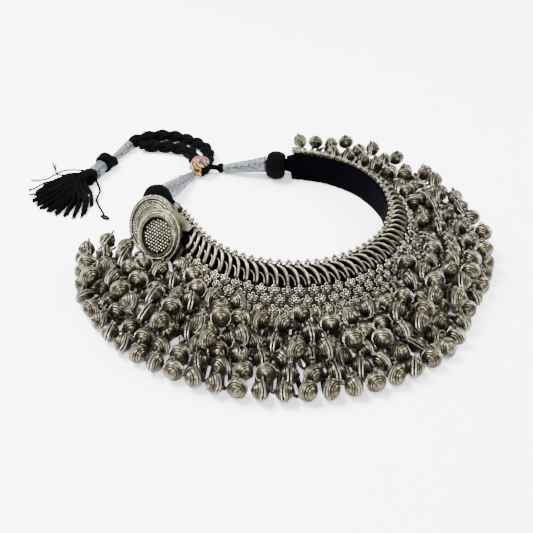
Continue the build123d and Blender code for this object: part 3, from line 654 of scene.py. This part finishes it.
hook_form = new_form()
for turn, drop in ((0.0, 0.0), (0.9, -0.0012)):
    bend = arc_points(Vector((-0.0004, drop, 0.0016)), Vector((0.0013, 0, 0.0004)), Vector((0, -0.0030, 0)),
                      -100, 100, 8)
    add_wire(hook_form, [Matrix.Rotation(turn, 3, "Y") @ point for point in bend], hook_wire, 7, shade_and_patina=0.05)
hook_places = []
for along in spots_along(loop_pitch / 2, rosette_near_along)[:2 * len(loop_places)]:
    outward, forward = collar_directions(along)
    hook_places.append((collar_point(along, loop_inner_out + hook_out, hook_height), forward,
                        leaning(outward, hook_lean)))
set_out("rosette_hooks", hook_form, hook_places, 1.0, 0.3, 16, silver, "silver")


def between(table, share):
    """A value read from a table of (share, value) rows."""
    for (a, low), (b, high) in zip(table, table[1:]):
        if share <= b:
            return low + (high - low) * max(share - a, 0) / (b - a)
    return table[-1][1]


# the chained strips are blackened: painted shade on the table among and under the bells
chain_form = new_form()
add_wire(chain_form, outline[::2] + outline[:1], chain_strip * 0.5, 4, squash=0.5)
chance = random.Random(chain_seed)
chain_places = []
along = mesh_far_along
while along > -near_arc - chain_past_band:
    out = chain_start + chance.uniform(-0.001, 0.001)
    drift = chance.uniform(-0.15, 0.15)
    while out < fringe_reach * between(chain_reach, along / far_arc) + chain_past_reach:
        outward, forward = collar_directions(along)
        rise = chain_height + chance.uniform(0, chain_rise)
        chain_places.append((collar_point(along + chance.uniform(-0.001, 0.001), out, rise),
                             forward * math.cos(drift) + outward * math.sin(drift),
                             upright + outward * chance.uniform(-0.2, 0.2)))
        out += chain_step
    along -= chain_pitch
chains = set_out("fringe_chains", chain_form, chain_places, 0.95, 0.22, chain_seed, blackened_and_shade_silver, "silver")
keep_off_table(vertex.co for vertex in chains.data.vertices)

# End tabs: sheet bent over the slope at both ends of the mesh, with a rolled knuckle at the rim
# and a pin on the near one. They keep their plain sheet form and get the worn finish.
for node in ("near_tab", "far_tab"):
    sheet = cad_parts[node].data
    sheet.materials.clear()
    sheet.materials.append(silver)

# Discs at the near end: two stamped discs, one over the other. The front one is a dish with a
# field of granules, a plain rim and wire ridges; the back one has beaded and raised rings.
disc_along = -near_arc - 0.0166
disc_turn = math.radians(22.0)
disc_lean = math.radians(31.0)
front_depth = 0.0036
dish_depth = 0.0017
disc_line_range = 0.020
line_shade_and_tarnish = (0.1, 0.09, 0.07)
clean = (1, 1, 1)
granule_pitch = 0.00200
row_spacing = 0.866
field_radius = 0.0103
field_granule = 0.00070
field_border = 0.0007
floor_skin = 0.00008
floor_edge = 0.0002
ring_bead_size = 0.8
front_disc_cover = 0.0162

disc_outward = collar_directions(disc_along)[0]
disc_outward.rotate(Matrix.Rotation(disc_turn, 3, "Z"))
disc_normal = disc_outward * math.cos(disc_lean) + upright * math.sin(disc_lean)
disc_level = upright.cross(disc_normal).normalized()
disc_up = disc_normal.cross(disc_level)
front_centre = collar_point(disc_along, 0.020, 0.014)
back_centre = front_centre - disc_level * 0.0085 + disc_up * 0.0033 - disc_normal * 0.0007
disc_lines = (
    # node, centre, then the radius and half width of each dark line
    ("front_disc", front_centre + disc_normal * 0.0022,
     ((0.0107, 0.0003), (0.0127, 0.0002), (0.0139, 0.00022), (0.0148, 0.00022))),
    ("back_disc", back_centre,
     ((0.0122, 0.0003), (0.0135, 0.0003), (0.0152, 0.00035), (0.0167, 0.00025))),
)
beaded_rings = (
    # centre, radius, bead spacing and lift of each ring of beads
    (back_centre, 0.0172, 0.0015, 0.0003), (back_centre, 0.0160, 0.0015, 0.0003),
    (back_centre, 0.0128, 0.0017, 0.0003), (back_centre, 0.0114, 0.0017, 0.0003),
    (front_centre, 0.0152, 0.0013, 0.0014), (front_centre, 0.01335, 0.0013, 0.0030),
)

# worn sheet silver, with dark lines painted between the ridges of each disc: painted shade in the grooves
# there, with the tarnish left in them
for node, centre, lines in disc_lines:
    finish = pale_silver.copy()
    finish.name = node + "_silver"
    tree = finish.node_tree
    shader = tree.nodes["Principled BSDF"]
    away = new_node(tree, "ShaderNodeVectorMath", {0: own_place(tree), 1: centre}, operation="DISTANCE")
    share = new_node(tree, "ShaderNodeMath", {0: away.outputs["Value"], 1: disc_line_range}, operation="DIVIDE")
    stops = [(0.0, clean)]
    for radius, half in lines:
        stops += [((radius + half * edge) / disc_line_range, colour)
                  for edge, colour in ((-1.6, clean), (-0.5, line_shade_and_tarnish), (0.5, line_shade_and_tarnish), (1.6, clean))]
    rings = shades(tree, share.outputs["Value"], stops + [(1.0, clean)])
    worn = shader.inputs["Base Color"].links[0].from_socket
    set_inputs(tree, shader, {"Base Color": mixed(tree, 1.0, worn, rings, "MULTIPLY")})
    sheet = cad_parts[node].data
    sheet.materials.clear()
    sheet.materials.append(finish)

bead_form = new_form()
bead_profile = [(1.0, 0.0, 0), (0.75, 0.66, 0), (0.1, 0.995, 0.1), (-0.3, 0.95, 0.8)]
add_turned(bead_form, bead_profile, 8, turn_up @ Matrix.Scale(field_granule, 4))
field_floor = front_centre + disc_normal * (front_depth - dish_depth)
field_places = []
field_reach = int(field_radius / granule_pitch) + 1
for row in range(-field_reach, field_reach + 1):
    for k in range(-field_reach, field_reach + 1):
        across = (k + 0.5 * (row % 2)) * granule_pitch
        up = row * granule_pitch * row_spacing
        if math.hypot(across, up) < field_radius - field_border:
            field_places.append((field_floor + disc_level * across + disc_up * up, disc_level, disc_normal))
# the dish floor under the granules is blackened and marked darker towards its rim: painted shade between the
# granules and under the rim
dish_floor_shade_form = new_form()
floor_profile = [(floor_skin, 0.0, 0.6), (floor_skin, field_radius, 0.9), (-floor_edge, field_radius, 1.0)]
add_turned(dish_floor_shade_form, floor_profile, 40,
           Matrix.Translation(field_floor) @ disc_normal.to_track_quat("X", "Z").to_matrix().to_4x4())
add_form("front_disc_dish_floor", dish_floor_shade_form, blackened_and_shade_silver, "pale_silver")
set_out("front_disc_granules", bead_form, field_places, 1.0, 0.1, 31, rubbed_silver, "pale_silver")

ring_places = []
for centre, radius, spacing, lift in beaded_rings:
    around = int(2 * math.pi * radius / spacing)
    for place in arc_points(centre, disc_level * radius, disc_up * radius, 0, 360, around)[:-1]:
        from_front = place - front_centre
        away = (from_front - disc_normal * from_front.dot(disc_normal)).length
        if centre is front_centre or away > front_disc_cover:
            ring_places.append((place + disc_normal * lift, disc_level, disc_normal))
set_out("disc_beaded_rings", bead_form, ring_places, ring_bead_size, 0.1, 32, rubbed_silver, "pale_silver")

# Bells: round slit bells of two raised sheet domes with engraved grooves, joined at rims of
# twisted wire. Each has a granule at both poles and a ring shank, and hangs from a jump ring.
bell_radius = 0.00525
bell_half = 0.0045
rim_half = 0.00115
slit_half = 0.00035
slit_depth = 0.0009
dome_rim_radius = 0.0049
groove_depth = 0.00012
shank_ring = 0.000975
shank_wire = 0.00048
shank_centre = 0.00625
jump_ring = 0.0015
jump_wire = 0.00045
bell_steps = 20
bell_seed = 40
cover_near = 0.0125
cover_share = 0.25
front_disc_room = 0.0185
back_disc_room = 0.0205
dome_rows = (
    # share of the dome's radius, depth in groove depths, darkness of painted shade and patina
    (0.32, 0, 0.1), (0.47, 0, 0.0), (0.60, 0, 0.0), (0.64, 2.0, 0.9), (0.68, 2.0, 0.9), (0.72, 0, 0.0),
    (0.78, 0, 0.0), (0.82, 2.0, 1.0), (0.86, 2.0, 1.0), (0.90, 0, 0.0), (0.95, 0, 0.0),
)


def bell_rows(node):
    """The centre, slit axis and shank direction of each bell in a row's solids."""
    solid = bmesh.new()
    solid.from_mesh(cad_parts[node].data)
    bmesh.ops.remove_doubles(solid, verts=solid.verts, dist=same_spot)
    seen = set()
    places = []
    for first in solid.verts:
        if first in seen:
            continue
        seen.add(first)
        group = [first]
        for vertex in group:
            for edge in vertex.link_edges:
                other = edge.other_vert(vertex)
                if other not in seen:
                    seen.add(other)
                    group.append(other)
        points = np.array([vertex.co for vertex in group])
        middle = (points.max(axis=0) + points.min(axis=0)) / 2
        for _ in range(3):
            tip = points[np.argmax(np.linalg.norm(points - middle, axis=1))]
            shank = Vector(tip - middle).normalized()
            side = shank.orthogonal().normalized()
            ways = np.array([side * math.cos(a) + shank.cross(side) * math.sin(a)
                             for a in np.linspace(0, math.pi, 90, endpoint=False)])
            reaches = points @ ways.T
            slit_axis = Vector(ways[np.argmin(reaches.max(axis=0) - reaches.min(axis=0))])
            centre = shank * (float((points @ np.array(shank)).min()) + bell_radius)
            for axis in (slit_axis, slit_axis.cross(shank)):
                reach = points @ np.array(axis)
                centre += axis * float(reach.max() + reach.min()) / 2
            middle = np.array(centre)
        places.append((centre, slit_axis, shank))
    solid.free()
    return places


dome_half = bell_half - rim_half
ball_radius = (dome_half ** 2 + dome_rim_radius ** 2) / (2 * dome_half)
# the grooves, the foot of the pole granule, the dome's rim and the slit are marked dark: painted shade in them,
# with the patina there
dome_profile = [(bell_half + 0.0005, 0.0, 0.0), (bell_half + 0.0003, 0.0009, 0.0),
                (bell_half - 0.0001, 0.0012, 0.7)]
for share, sink, shade_and_patina in dome_rows:
    radius = dome_rim_radius * share
    x = bell_half - ball_radius + math.sqrt(ball_radius ** 2 - radius ** 2)
    dome_profile.append((x - sink * groove_depth, radius - sink * groove_depth * 0.6, shade_and_patina))
dome_profile.append((rim_half + 0.00003, dome_rim_radius, 1.0))
rim_profile = [(rim_half, dome_rim_radius - 0.0002, 0.6), (rim_half - 0.00008, bell_radius - 0.00006, 0.0),
               (slit_half + 0.00012, bell_radius, 0.0), (slit_half, bell_radius - slit_depth, 1.0)]
inner_profile = [(slit_half, bell_radius - slit_depth, 1.0), (0.0, bell_radius - 0.0014, 1.0)]
bell_form = new_form()
for half_turn in (Matrix.Identity(4), Matrix.Rotation(math.pi, 4, "Z")):
    for profile, wire in ((dome_profile, False), (rim_profile, True), (inner_profile, False)):
        add_turned(bell_form, profile, bell_steps, half_turn, wire)
standing = Matrix.Translation((0, 0, shank_centre)) @ Matrix.Rotation(math.pi / 2, 4, "Y")
add_ring(bell_form, standing, shank_ring, shank_wire, 10, 6)
all_bells = []
for node in ("bells_row_1", "bells_row_2", "bells_row_3", "bells_row_4", "bells_row_5"):
    bell_seed += 1
    places = bell_rows(node)
    set_out(node + "_bells", bell_form, places, 1.0, 0.0, bell_seed, silver, "silver", node)
    all_bells += places

# the jump rings show only among other bells, not at the edge or on top of the pile
ring_form = new_form()
hanging = (Matrix.Translation((0, 0, shank_centre + jump_ring - 0.0002)) @ Matrix.Rotation(0.9, 4, "Z")
           @ Matrix.Rotation(math.pi / 2, 4, "X"))
add_ring(ring_form, hanging, jump_ring, jump_wire, 12, 5)
ring_places = []
for bell in all_bells:
    ring_place = bell[0] + bell[2] * (shank_centre + jump_ring)
    outward = Vector((ring_place.x, ring_place.y, 0)).normalized()
    near = [other - ring_place for other, _, _ in all_bells if (other - ring_place).length < cover_near]
    covered = any(gap.dot(outward) > cover_share * gap.length for gap in near)
    overlaid = any(gap.z > 0 for gap in near)
    off_front = (ring_place - front_centre).length > front_disc_room
    off_back = (ring_place - back_centre).length > back_disc_room
    if off_front and off_back and covered and overlaid:
        ring_places.append(bell)
rings = set_out("bell_jump_rings", ring_form, ring_places, 1.0, 0.25, bell_seed, silver, "silver")
keep_off_table(vertex.co for vertex in rings.data.vertices)

# Bulbs: the two tails of the band are bound with black cotton into squat balls, thread beside
# thread from pole to pole.
bulb_radius = 0.0094
bulb_half = 0.0062
bulb_height = 0.0095
bulb_rounding = 0.0006
bulb_ripple = 0.012
near_bulb_place = Vector((-0.0479, 0.0712, bulb_height))
far_bulb_place = Vector((0.0361, 0.0517, bulb_height))
near_wrap_tip = Vector((-0.0060, 0.0892, 0.0025))
far_wrap_tip = Vector((0.0136, 0.0797, 0.0032))


def black_thread(name, turns, along):
    """Black cotton thread laid side by side, with a dull shine on each turn."""
    material, tree, shader = finish_of(name, (0.0004, 0.0004, 0.0006), 0.85)
    threads = stripes(tree, unrolled(tree), (turns, along, 1.0), (0, 0, 0), 0.32, 1.2, 3.0,
                      "X" if turns > along else "Y")
    colours = shades(tree, threads, [(0.1, (0.0001, 0.0001, 0.0002)), (0.9, (0.0008, 0.0008, 0.0012))])
    set_inputs(tree, shader, {"Base Color": colours, "Sheen Weight": 0.004, "Sheen Roughness": 0.4,
                              "Specular IOR Level": 0.02})
    relief(tree, shader, threads, 0.0004, 0.7)
    relief(tree, shader, mottling(tree, 1800, 3), 0.0002, 0.4)
    return material


def facing_x(origin, way):
    """A place at an origin with its X axis along a way."""
    x = way.normalized()
    y = upright.cross(x).normalized()
    place = Matrix((x, y, x.cross(y))).transposed().to_4x4()
    place.translation = origin
    return place


def level_way(start, end):
    """The level direction from one place to another."""
    return Vector((end.x - start.x, end.y - start.y, 0)).normalized()


bulb_thread = black_thread("bulb_thread", 60, 1)
bulb_profile = [(bulb_half, 0.0, 0)]
for k in range(17):
    x = bulb_half * math.cos(math.pi * k / 16)
    rounding = bulb_rounding * (abs(x) / bulb_half) ** 12
    radius = math.sqrt(bulb_radius ** 2 - x ** 2) - rounding
    bulb_profile.append((x - math.copysign(rounding * 0.4, x), radius, 0))
bulb_profile.append((-bulb_half, 0.0, 0))
for name, node, centre, tip in (("near_bound_bulb", "near_bulb", near_bulb_place, near_wrap_tip),
                                ("far_bound_bulb", "far_bulb", far_bulb_place, far_wrap_tip)):
    way = level_way(centre, tip)
    form = new_form()
    add_turned(form, bulb_profile, 40, facing_x(centre, way))
    for point in form["points"]:
        offset = point - centre
        angle = math.atan2(offset.z, offset.dot(Vector((-way.y, way.x, 0))))
        point += offset * (bulb_ripple * math.sin(9 * angle))
    add_form(name, form, bulb_thread, "thread", node)

# Silver-wrapped tapers: the ends of the tie cord next to the bulbs, wound round and round with
# flattened silver thread over a cotton core. A black thread is tied once round the near one.
wrap_threads = 95
wrap_start = bulb_half + 0.0002
black_turn_share = 0.62
black_turn_slant = 0.8
black_turn_thread = 0.0004

# flattened silver thread wound close round a core: dark between the turns as painted shade, with specks of
# shine as painted glints
zari, tree, shader = finish_of("silver_thread_wrapping", (0.3, 0.32, 0.34), 0.38, 0.4)
turns = stripes(tree, unrolled(tree), (0.35, wrap_threads, 1.0), (0, 0, 0.012), 0.32, 0.9, direction="Y")
speck = mottling(tree, 700, 8)
soft = shades(tree, mottling(tree, 260, 3), [(0.35, (0.6, 0.62, 0.65)), (0.6, (1, 1, 1))])
glint = new_node(tree, "ShaderNodeMath", {0: turns, 1: 0.3, 2: speck}, operation="MULTIPLY_ADD")
colours = shades(tree, glint.outputs["Value"], [(0.53, (0.008, 0.010, 0.012)), (0.66, (0.045, 0.052, 0.059)),
                                                (0.83, (0.24, 0.262, 0.285))])
set_inputs(tree, shader, {"Base Color": mixed(tree, 0.5, colours, soft, "MULTIPLY")})
relief(tree, shader, turns, 0.0003, 0.6)
relief(tree, shader, speck, 0.0003, 0.5)


def bent_taper(start, tip, radii, swell=0.0, steps=28):
    """A taper from one round end to another, a little fuller before the middle."""
    form = new_form()
    path = []
    widths = []
    for i in range(steps + 1):
        t = i / steps
        path.append(start.lerp(tip, t))
        radius = radii[0] + (radii[1] - radii[0]) * t + swell * math.sin(math.pi * t)
        widths.append(radius * (1 + 0.02 * math.sin(i * 1.9) + 0.012 * math.sin(i * 4.7)))
    add_wire(form, path, widths, 24)
    top = max(row[1] for row in form["uv"])
    form["uv"] = [(u, v / top) for u, v in form["uv"]]
    return form


black_turn = new_form()
for name, node, bulb, tip, radii, swell in (
        ("near_silver_wrap", "near_wrap", near_bulb_place, near_wrap_tip, (0.0060, 0.0022), 0.0003),
        ("far_silver_wrap", "far_wrap", far_bulb_place, far_wrap_tip, (0.0055, 0.0029), -0.0002)):
    way = level_way(bulb, tip)
    start = bulb + way * wrap_start
    add_form(name, bent_taper(start, tip, radii, swell), zari, "silver_thread", node)
    if node == "near_wrap":
        width = radii[0] + (radii[1] - radii[0]) * black_turn_share + swell
        slanted = (upright.cross(way) + way * black_turn_slant) * width
        path = arc_points(start.lerp(tip, black_turn_share), slanted, upright * width, 0, 360, 24)
        add_wire(black_turn, path, black_turn_thread, 6)
add_form("near_wrap_black_turn", black_turn, bulb_thread, "thread")

# Short knobbed cord: black cord from the far taper into the bead, flared and tied to a knob.
far_knot_place = Vector((0.0116, 0.0826, 0.0035))
bead_place = Vector((-0.0002, 0.0884, 0.0071))
bead_radius = 0.0070
knob_back = 0.0030
knob_length = 0.0118
knob_radii = [0.0022, 0.0031, 0.0034, 0.0033, 0.0028, 0.0022, 0.0019, 0.0018, 0.0018, 0.0019, 0.0021,
              0.0024, 0.0028, 0.0032, 0.0034]

cord_thread = black_thread("cord_thread", 3, 55)
form = new_form()
way = (bead_place - far_knot_place).normalized()
add_wire(form, [far_knot_place + way * (knob_length * k / 14 - knob_back) for k in range(15)], knob_radii, 16)
knob = add_form("knobbed_cord", form, cord_thread, "thread", "far_cord")

# Slider bead: a ball wound with gold thread, with a red thread patch on top and a band of black
# thread that holds the cords together on its lower near side.
red_patch_place = bead_place + Vector((0.0026, 0.0006, 0.0062))
red_patch_radius = 0.0042
red_patch_edge = 0.0046
band_threads = 6
band_thread = 0.00065
band_lowest = -0.0040
band_pitch = 0.0011
band_climb = 0.0012
band_facing = Vector((-0.35, -0.94, 0))

gold, tree, shader = finish_of("gold_thread", (0.2, 0.12, 0.01), 0.4, 0.35)
place = own_place(tree)
winding = stripes(tree, place, (1, 1, 1), (0.5, 0.3, 0.9), 105, 16.0, 3.0)
# the winding's near-black bands, in the gold and the red alike, are painted shade in the folds between the
# threads
yellow = shades(tree, winding, [(0.25, (0.004, 0.002, 0.0005)), (0.5, (0.075, 0.038, 0.002)),
                                (0.85, (0.28, 0.165, 0.008))])
red = shades(tree, winding, [(0.2, (0.012, 0.0005, 0.001)), (0.9, (0.11, 0.003, 0.009))])
away = new_node(tree, "ShaderNodeVectorMath", {0: place, 1: red_patch_place}, operation="DISTANCE")
patch = shades(tree, away.outputs["Value"], [(red_patch_radius, (1, 1, 1)), (red_patch_edge, (0, 0, 0))])
metal = new_node(tree, "ShaderNodeMapRange", {"Value": patch, "To Min": 0.35, "To Max": 0.0})
set_inputs(tree, shader, {"Base Color": mixed(tree, patch, yellow, red), "Metallic": metal.outputs["Result"]})
relief(tree, shader, winding, 0.0005, 0.8)


def ball_profile(half, radius, steps):
    """The profile of a ball or a squeezed ball, from pole to pole."""
    angles = [math.pi * k / steps for k in range(steps + 1)]
    return [(half * math.cos(angle), radius * math.sin(angle), 0) for angle in angles]


form = new_form()
add_turned(form, ball_profile(bead_radius, bead_radius, 20), 36, facing_x(bead_place, Vector((0.8, 0.6, 0))))
bead = add_form("gold_slider_bead", form, gold, "gold_thread", "slider_bead")
band_form = new_form()
for k in range(band_threads):
    lift = band_lowest + band_pitch * k
    level = math.sqrt(bead_radius ** 2 - lift ** 2) + 0.0001
    path = arc_points(bead_place + upright * lift, band_facing * level,
                      upright.cross(band_facing) * level + upright * band_climb, -12, 100, 14)
    add_wire(band_form, path, band_thread, 7)
add_form("bead_black_band", band_form, cord_thread, "thread")

# Tie cord: two black cotton ropes, each braided of three thick strands, which leave the bead
# side by side and come together at the silver-wrapped end above the tassel.
outer_route = [(0.0056, 0.0903), (0.0140, 0.0969), (0.0203, 0.1064), (0.0214, 0.1190), (0.0152, 0.1393),
               (0.0060, 0.1488), (-0.0066, 0.1529), (-0.0165, 0.1511)]
inner_route = [(-0.0013, 0.0946), (0.0056, 0.1012), (0.0089, 0.1100), (0.0076, 0.1195), (0.0028, 0.1282),
               (-0.0042, 0.1364), (-0.0122, 0.1436)]
rope_height = 0.0040
rope_step = 0.0012
strand_radius = 0.0027
plait_width = 0.0021
plait_depth = 0.0012
plait_length = 0.030


def smooth_line(name, route):
    """The points of a smooth curve through a cord's route, from the curve itself."""
    curve = bpy.data.curves.new(name, "CURVE")
    curve.dimensions = "3D"
    spline = curve.splines.new("NURBS")
    spline.points.add(len(route) - 1)
    for point, (x, y) in zip(spline.points, route):
        point.co = (x, y, rope_height, 1)
    spline.order_u = 3
    spline.use_endpoint_u = True
    spline.resolution_u = 12
    mesh = plain_copy(put_in_scene(name, curve))
    line = [vertex.co.copy() for vertex in mesh.vertices]
    bpy.data.meshes.remove(mesh)
    return line


def line_length(line):
    return sum((b - a).length for a, b in zip(line, line[1:]))


def spot_on(line, length):
    """The point at a length along a line, and the line's direction there."""
    for a, b in zip(line, line[1:]):
        part = (b - a).length
        if part >= length or b is line[-1]:
            return a.lerp(b, min(max(length / part, 0), 1)), (b - a).normalized()
        length -= part


def plaited_rope(line, shift):
    """Three strands plaited along a line."""
    form = new_form()
    total = line_length(line)
    steps = int(total / rope_step)
    for strand in range(3):
        path = []
        radii = []
        for i in range(steps + 1):
            length = total * i / steps
            point, way = spot_on(line, length)
            side = Vector((way.y, -way.x, 0)).normalized()
            phase = 2 * math.pi * (length / plait_length + strand / 3 + shift)
            path.append(point + side * (plait_width * math.sin(phase))
                        + upright * (plait_depth * math.sin(2 * phase)))
            fade = min(1, 0.55 + 90 * min(length, total - length))
            radii.append(strand_radius * fade * (1 + 0.08 * math.cos(2 * phase)))
        add_wire(form, path, radii, 10)
    return form


rope_thread = black_thread("rope_thread", 6, 2)
outer_line = smooth_line("outer_rope_line", outer_route)
inner_line = smooth_line("inner_rope_line", inner_route)
outer_form = plaited_rope(outer_line, 0.0)
inner_form = plaited_rope(inner_line, 0.15)
outer_piece = add_form("outer_braided_rope", outer_form, rope_thread, "thread", "outer_rope")
inner_piece = add_form("inner_braided_rope", inner_form, rope_thread, "thread", "inner_rope")

# Wrapped ends and knot: silver thread wound over the joined ropes, a two-lump knot of black
# cord, and a second silver-wrapped neck that leads into the tassel.
upper_start = Vector((-0.0173, 0.1497, 0.0038))
upper_tip = Vector((-0.0356, 0.1420, 0.0034))
upper_radii = (0.0036, 0.0021)
small_knot = Vector((-0.0381, 0.1391, 0.0037))
large_knot = Vector((-0.0453, 0.1376, 0.0060))
neck_end = Vector((-0.0569, 0.1319, 0.0050))
neck_radii = (0.0042, 0.0047)
neck_start = 0.0040
knot_cord = 0.0013
knot_way = (neck_end - large_knot).normalized()
knot_turns = (
    # centre, radius and tilt of each turn of the knot's cord
    (large_knot, 0.0050, 0.55), (large_knot, 0.0050, -0.6), (large_knot + knot_way * -0.004, 0.0042, 0.1),
    (small_knot, 0.0029, 0.5), (large_knot + knot_way * 0.0026, 0.0044, 0.0),
)

upper_form = bent_taper(upper_start, upper_tip, upper_radii, steps=18)
upper_piece = add_form("upper_silver_wrap", upper_form, zari, "silver_thread", "upper_wrap")
knot_form = new_form()
for centre, radius, squeeze in ((large_knot, 0.0058, 0.72), (small_knot, 0.0036, 0.9)):
    add_turned(knot_form, ball_profile(radius * squeeze, radius, 14), 28, facing_x(centre, knot_way))
knot_side = upright.cross(knot_way).normalized()
knot_up = knot_way.cross(knot_side)
for centre, radius, tilt in knot_turns:
    path = arc_points(centre, knot_side * radius, (knot_up + knot_way * tilt) * radius, 0, 360, 24)
    add_wire(knot_form, path, knot_cord, 8)
knot_piece = add_form("cord_knot", knot_form, cord_thread, "thread", "tassel_knot")
lower_form = bent_taper(large_knot + knot_way * neck_start, neck_end, neck_radii, steps=16)
lower_piece = add_form("lower_silver_wrap", lower_form, zari, "silver_thread", "lower_wrap")

# Tassel: a skein of black cotton thread folded over the cord's end and bound at its head. The
# threads fan out over the surface, cut unevenly, and a few have strayed.
tassel_head = Vector((-0.0621, 0.1296, 0.0055))
tassel_seed = 77
tassel_threads = 620
tassel_thread = 0.00046
tassel_thread_end = 0.00030
tassel_locks = 15
tassel_reach = 0.049
tassel_skein = 0.0036
head_half = 0.0054
head_radius = 0.0053
fan_start = math.radians(112)
fan_end = math.radians(241)
fan_reach = (
    # share of the fan, share of the reach
    (0.0, 0.44), (0.10, 0.52), (0.19, 0.62), (0.28, 0.74), (0.36, 0.84), (0.43, 0.88), (0.5, 0.92),
    (0.64, 0.92), (0.78, 0.94), (0.92, 0.96), (1.0, 0.64),
)
millimetre = 0.001
stray_threads = (
    # thickness of each stray thread and its points from the tassel outwards, in millimetres
    (1.5, ((-58.4, 130.1, 7), (-61.4, 122.9, 4.5), (-64.8, 113.6, 2.5), (-71.8, 107, 1.2), (-76.5, 91, 1))),
    (1.1, ((-60.7, 137, 6), (-68.8, 149.4, 4), (-76.6, 151.7, 2.5), (-84.0, 152.1, 1.5), (-91.1, 158.6, 1))),
    (1.0, ((-70, 143, 4), (-75.1, 150.4, 2.5), (-72, 160.3, 1.2), (-69, 169, 1))),
    (0.8, ((-70, 142, 4), (-75, 150, 2.5), (-72.4, 158.9, 1.2), (-68.2, 166.5, 1))),
    (1.2, ((-72, 137, 5), (-86, 145.9, 3), (-94.1, 147, 1.5), (-98.5, 148.7, 1))),
    (1.2, ((-74, 133, 5), (-91, 137.8, 3), (-97.1, 140.7, 1.5), (-101.1, 142.9, 1))),
)
stray_loop_place = (-0.0778, 0.0875, 0.0009)


def heading_way(heading):
    return Vector((math.cos(heading), math.sin(heading), 0))


def level_side(way):
    return Vector((-way.y, way.x, 0))


fan_way = heading_way((fan_start + fan_end) / 2)


def thread_path(rng, heading, reach, top, steps=9):
    """One thread of the tassel: out over the head, then down to the surface with a slight wave."""
    path = []
    way = heading_way(heading)
    sway = rng.uniform(-0.0012, 0.0012)
    spot = rng.uniform(-1, 1) * tassel_skein
    for k in range(steps + 1):
        t = k / steps
        turn_in = min(1, t * 1.6)
        out = (way * turn_in + fan_way * (1 - turn_in)).normalized()
        point = tassel_head + level_side(fan_way) * (spot * (1 - t)) + out * (reach * t)
        point += level_side(way) * (sway * math.sin(3.0 * t + sway * 2000))
        point.z = 0.0006 + top * (1 - t ** 1.6)
        path.append(point)
    return path


rng = random.Random(tassel_seed)
tassel_form = new_form()
for i in range(tassel_threads):
    share = min(max(rng.gauss(0.52, 0.26), 0.0), 1.0) if i % 3 else rng.random()
    lock = round(share * tassel_locks) / tassel_locks
    share = share * 0.55 + lock * 0.45
    heading = fan_start + (fan_end - fan_start) * share
    reach = tassel_reach * between(fan_reach, share) * rng.uniform(0.82, 1.0)
    reach *= 0.93 + 0.07 * math.sin(lock * 47)
    top = rng.uniform(0.0008, 0.0088)
    path = thread_path(rng, heading, reach, top)
    add_wire(tassel_form, path, [tassel_thread] * (len(path) - 1) + [tassel_thread_end], 5)
add_turned(tassel_form, ball_profile(head_half, head_radius, 12), 24, facing_x(tassel_head, fan_way))
for thickness, row in stray_threads:
    points = [Vector(point) * millimetre for point in row]
    path = []
    for k in range(13):
        u = k / 12 * (len(points) - 1)
        j = min(int(u), len(points) - 2)
        f = u - j
        before, after = points[max(j - 1, 0)], points[min(j + 2, len(points) - 1)]
        a, b = points[j], points[j + 1]
        path.append(0.5 * ((2 * a) + (b - before) * f + (2 * before - 5 * a + 4 * b - after) * f * f
                           + (3 * a - before - 3 * b + after) * f ** 3))
    add_wire(tassel_form, path, thickness / 2 * millimetre, 6)
loop_end = (Matrix.Translation(stray_loop_place) @ Matrix.Rotation(0.3, 4, "Z")
            @ Matrix.Diagonal((0.7, 1.5, 1, 1)))
add_ring(tassel_form, loop_end, 0.0017, 0.00075, 14, 6)
tassel_piece = add_form("thread_tassel", tassel_form, black_thread("tassel_thread", 2, 0.4), "thread", "tassel")

# Studio: the choker lies on a white table under a large soft light from the upper left, with the
# camera above the near left side.
table_half = 3.0
corners = [(-table_half, -table_half, 0), (table_half, -table_half, 0), (table_half, table_half, 0),
           (-table_half, table_half, 0)]
lights = (
    # name, place, target, width and power
    ("window", (-0.30, 0.55, 0.95), (0, 0.02, 0), 0.6, 78),
    ("fill", (0.75, -0.25, 0.8), (0, 0, 0), 0.5, 30),
    ("front", (-0.6, -0.6, 0.9), (0, 0, 0), 0.45, 24),
)
world_light = 1.1

floor_mesh = bpy.data.meshes.new("table_top")
floor_mesh.from_pydata(corners, [], [(0, 1, 2, 3)])
floor = put_in_scene("table_top", floor_mesh)
floor.location.z = -table_gap
white_table, tree, shader = finish_of("white_table", (0.95, 0.95, 0.95), 0.7)
whites = shades(tree, mottling(tree, 30, 3), [(0.3, (0.94, 0.94, 0.94)), (0.7, (0.955, 0.955, 0.955))])
set_inputs(tree, shader, {"Base Color": whites})
floor_mesh.materials.append(white_table)


def aimed_at(target, place):
    """How a lamp or a camera at a place turns to face a target."""
    return (Vector(target) - Vector(place)).to_track_quat("-Z", "Y").to_euler()


for name, place, target, width, power in lights:
    light = bpy.data.lights.new(name, "AREA")
    light.shape = "SQUARE"
    light.size = width
    light.energy = power
    lamp = put_in_scene(name, light)
    lamp.location = place
    lamp.rotation_euler = aimed_at(target, place)
world = bpy.data.worlds.new("studio")
bpy.context.scene.world = world
world.use_nodes = True
background = world.node_tree.nodes["Background"]
set_inputs(world.node_tree, background, {"Color": (1, 1, 1, 1), "Strength": world_light})

camera_data = bpy.data.cameras.new("camera")
camera_data.sensor_width = 36
camera_data.lens = 50.35
camera = put_in_scene("camera", camera_data)
camera.location = (-0.2617, -0.2694, 0.2700)
camera.rotation_euler = aimed_at((-0.0346, -0.0172, 0.0), camera.location)
bpy.context.scene.camera = camera
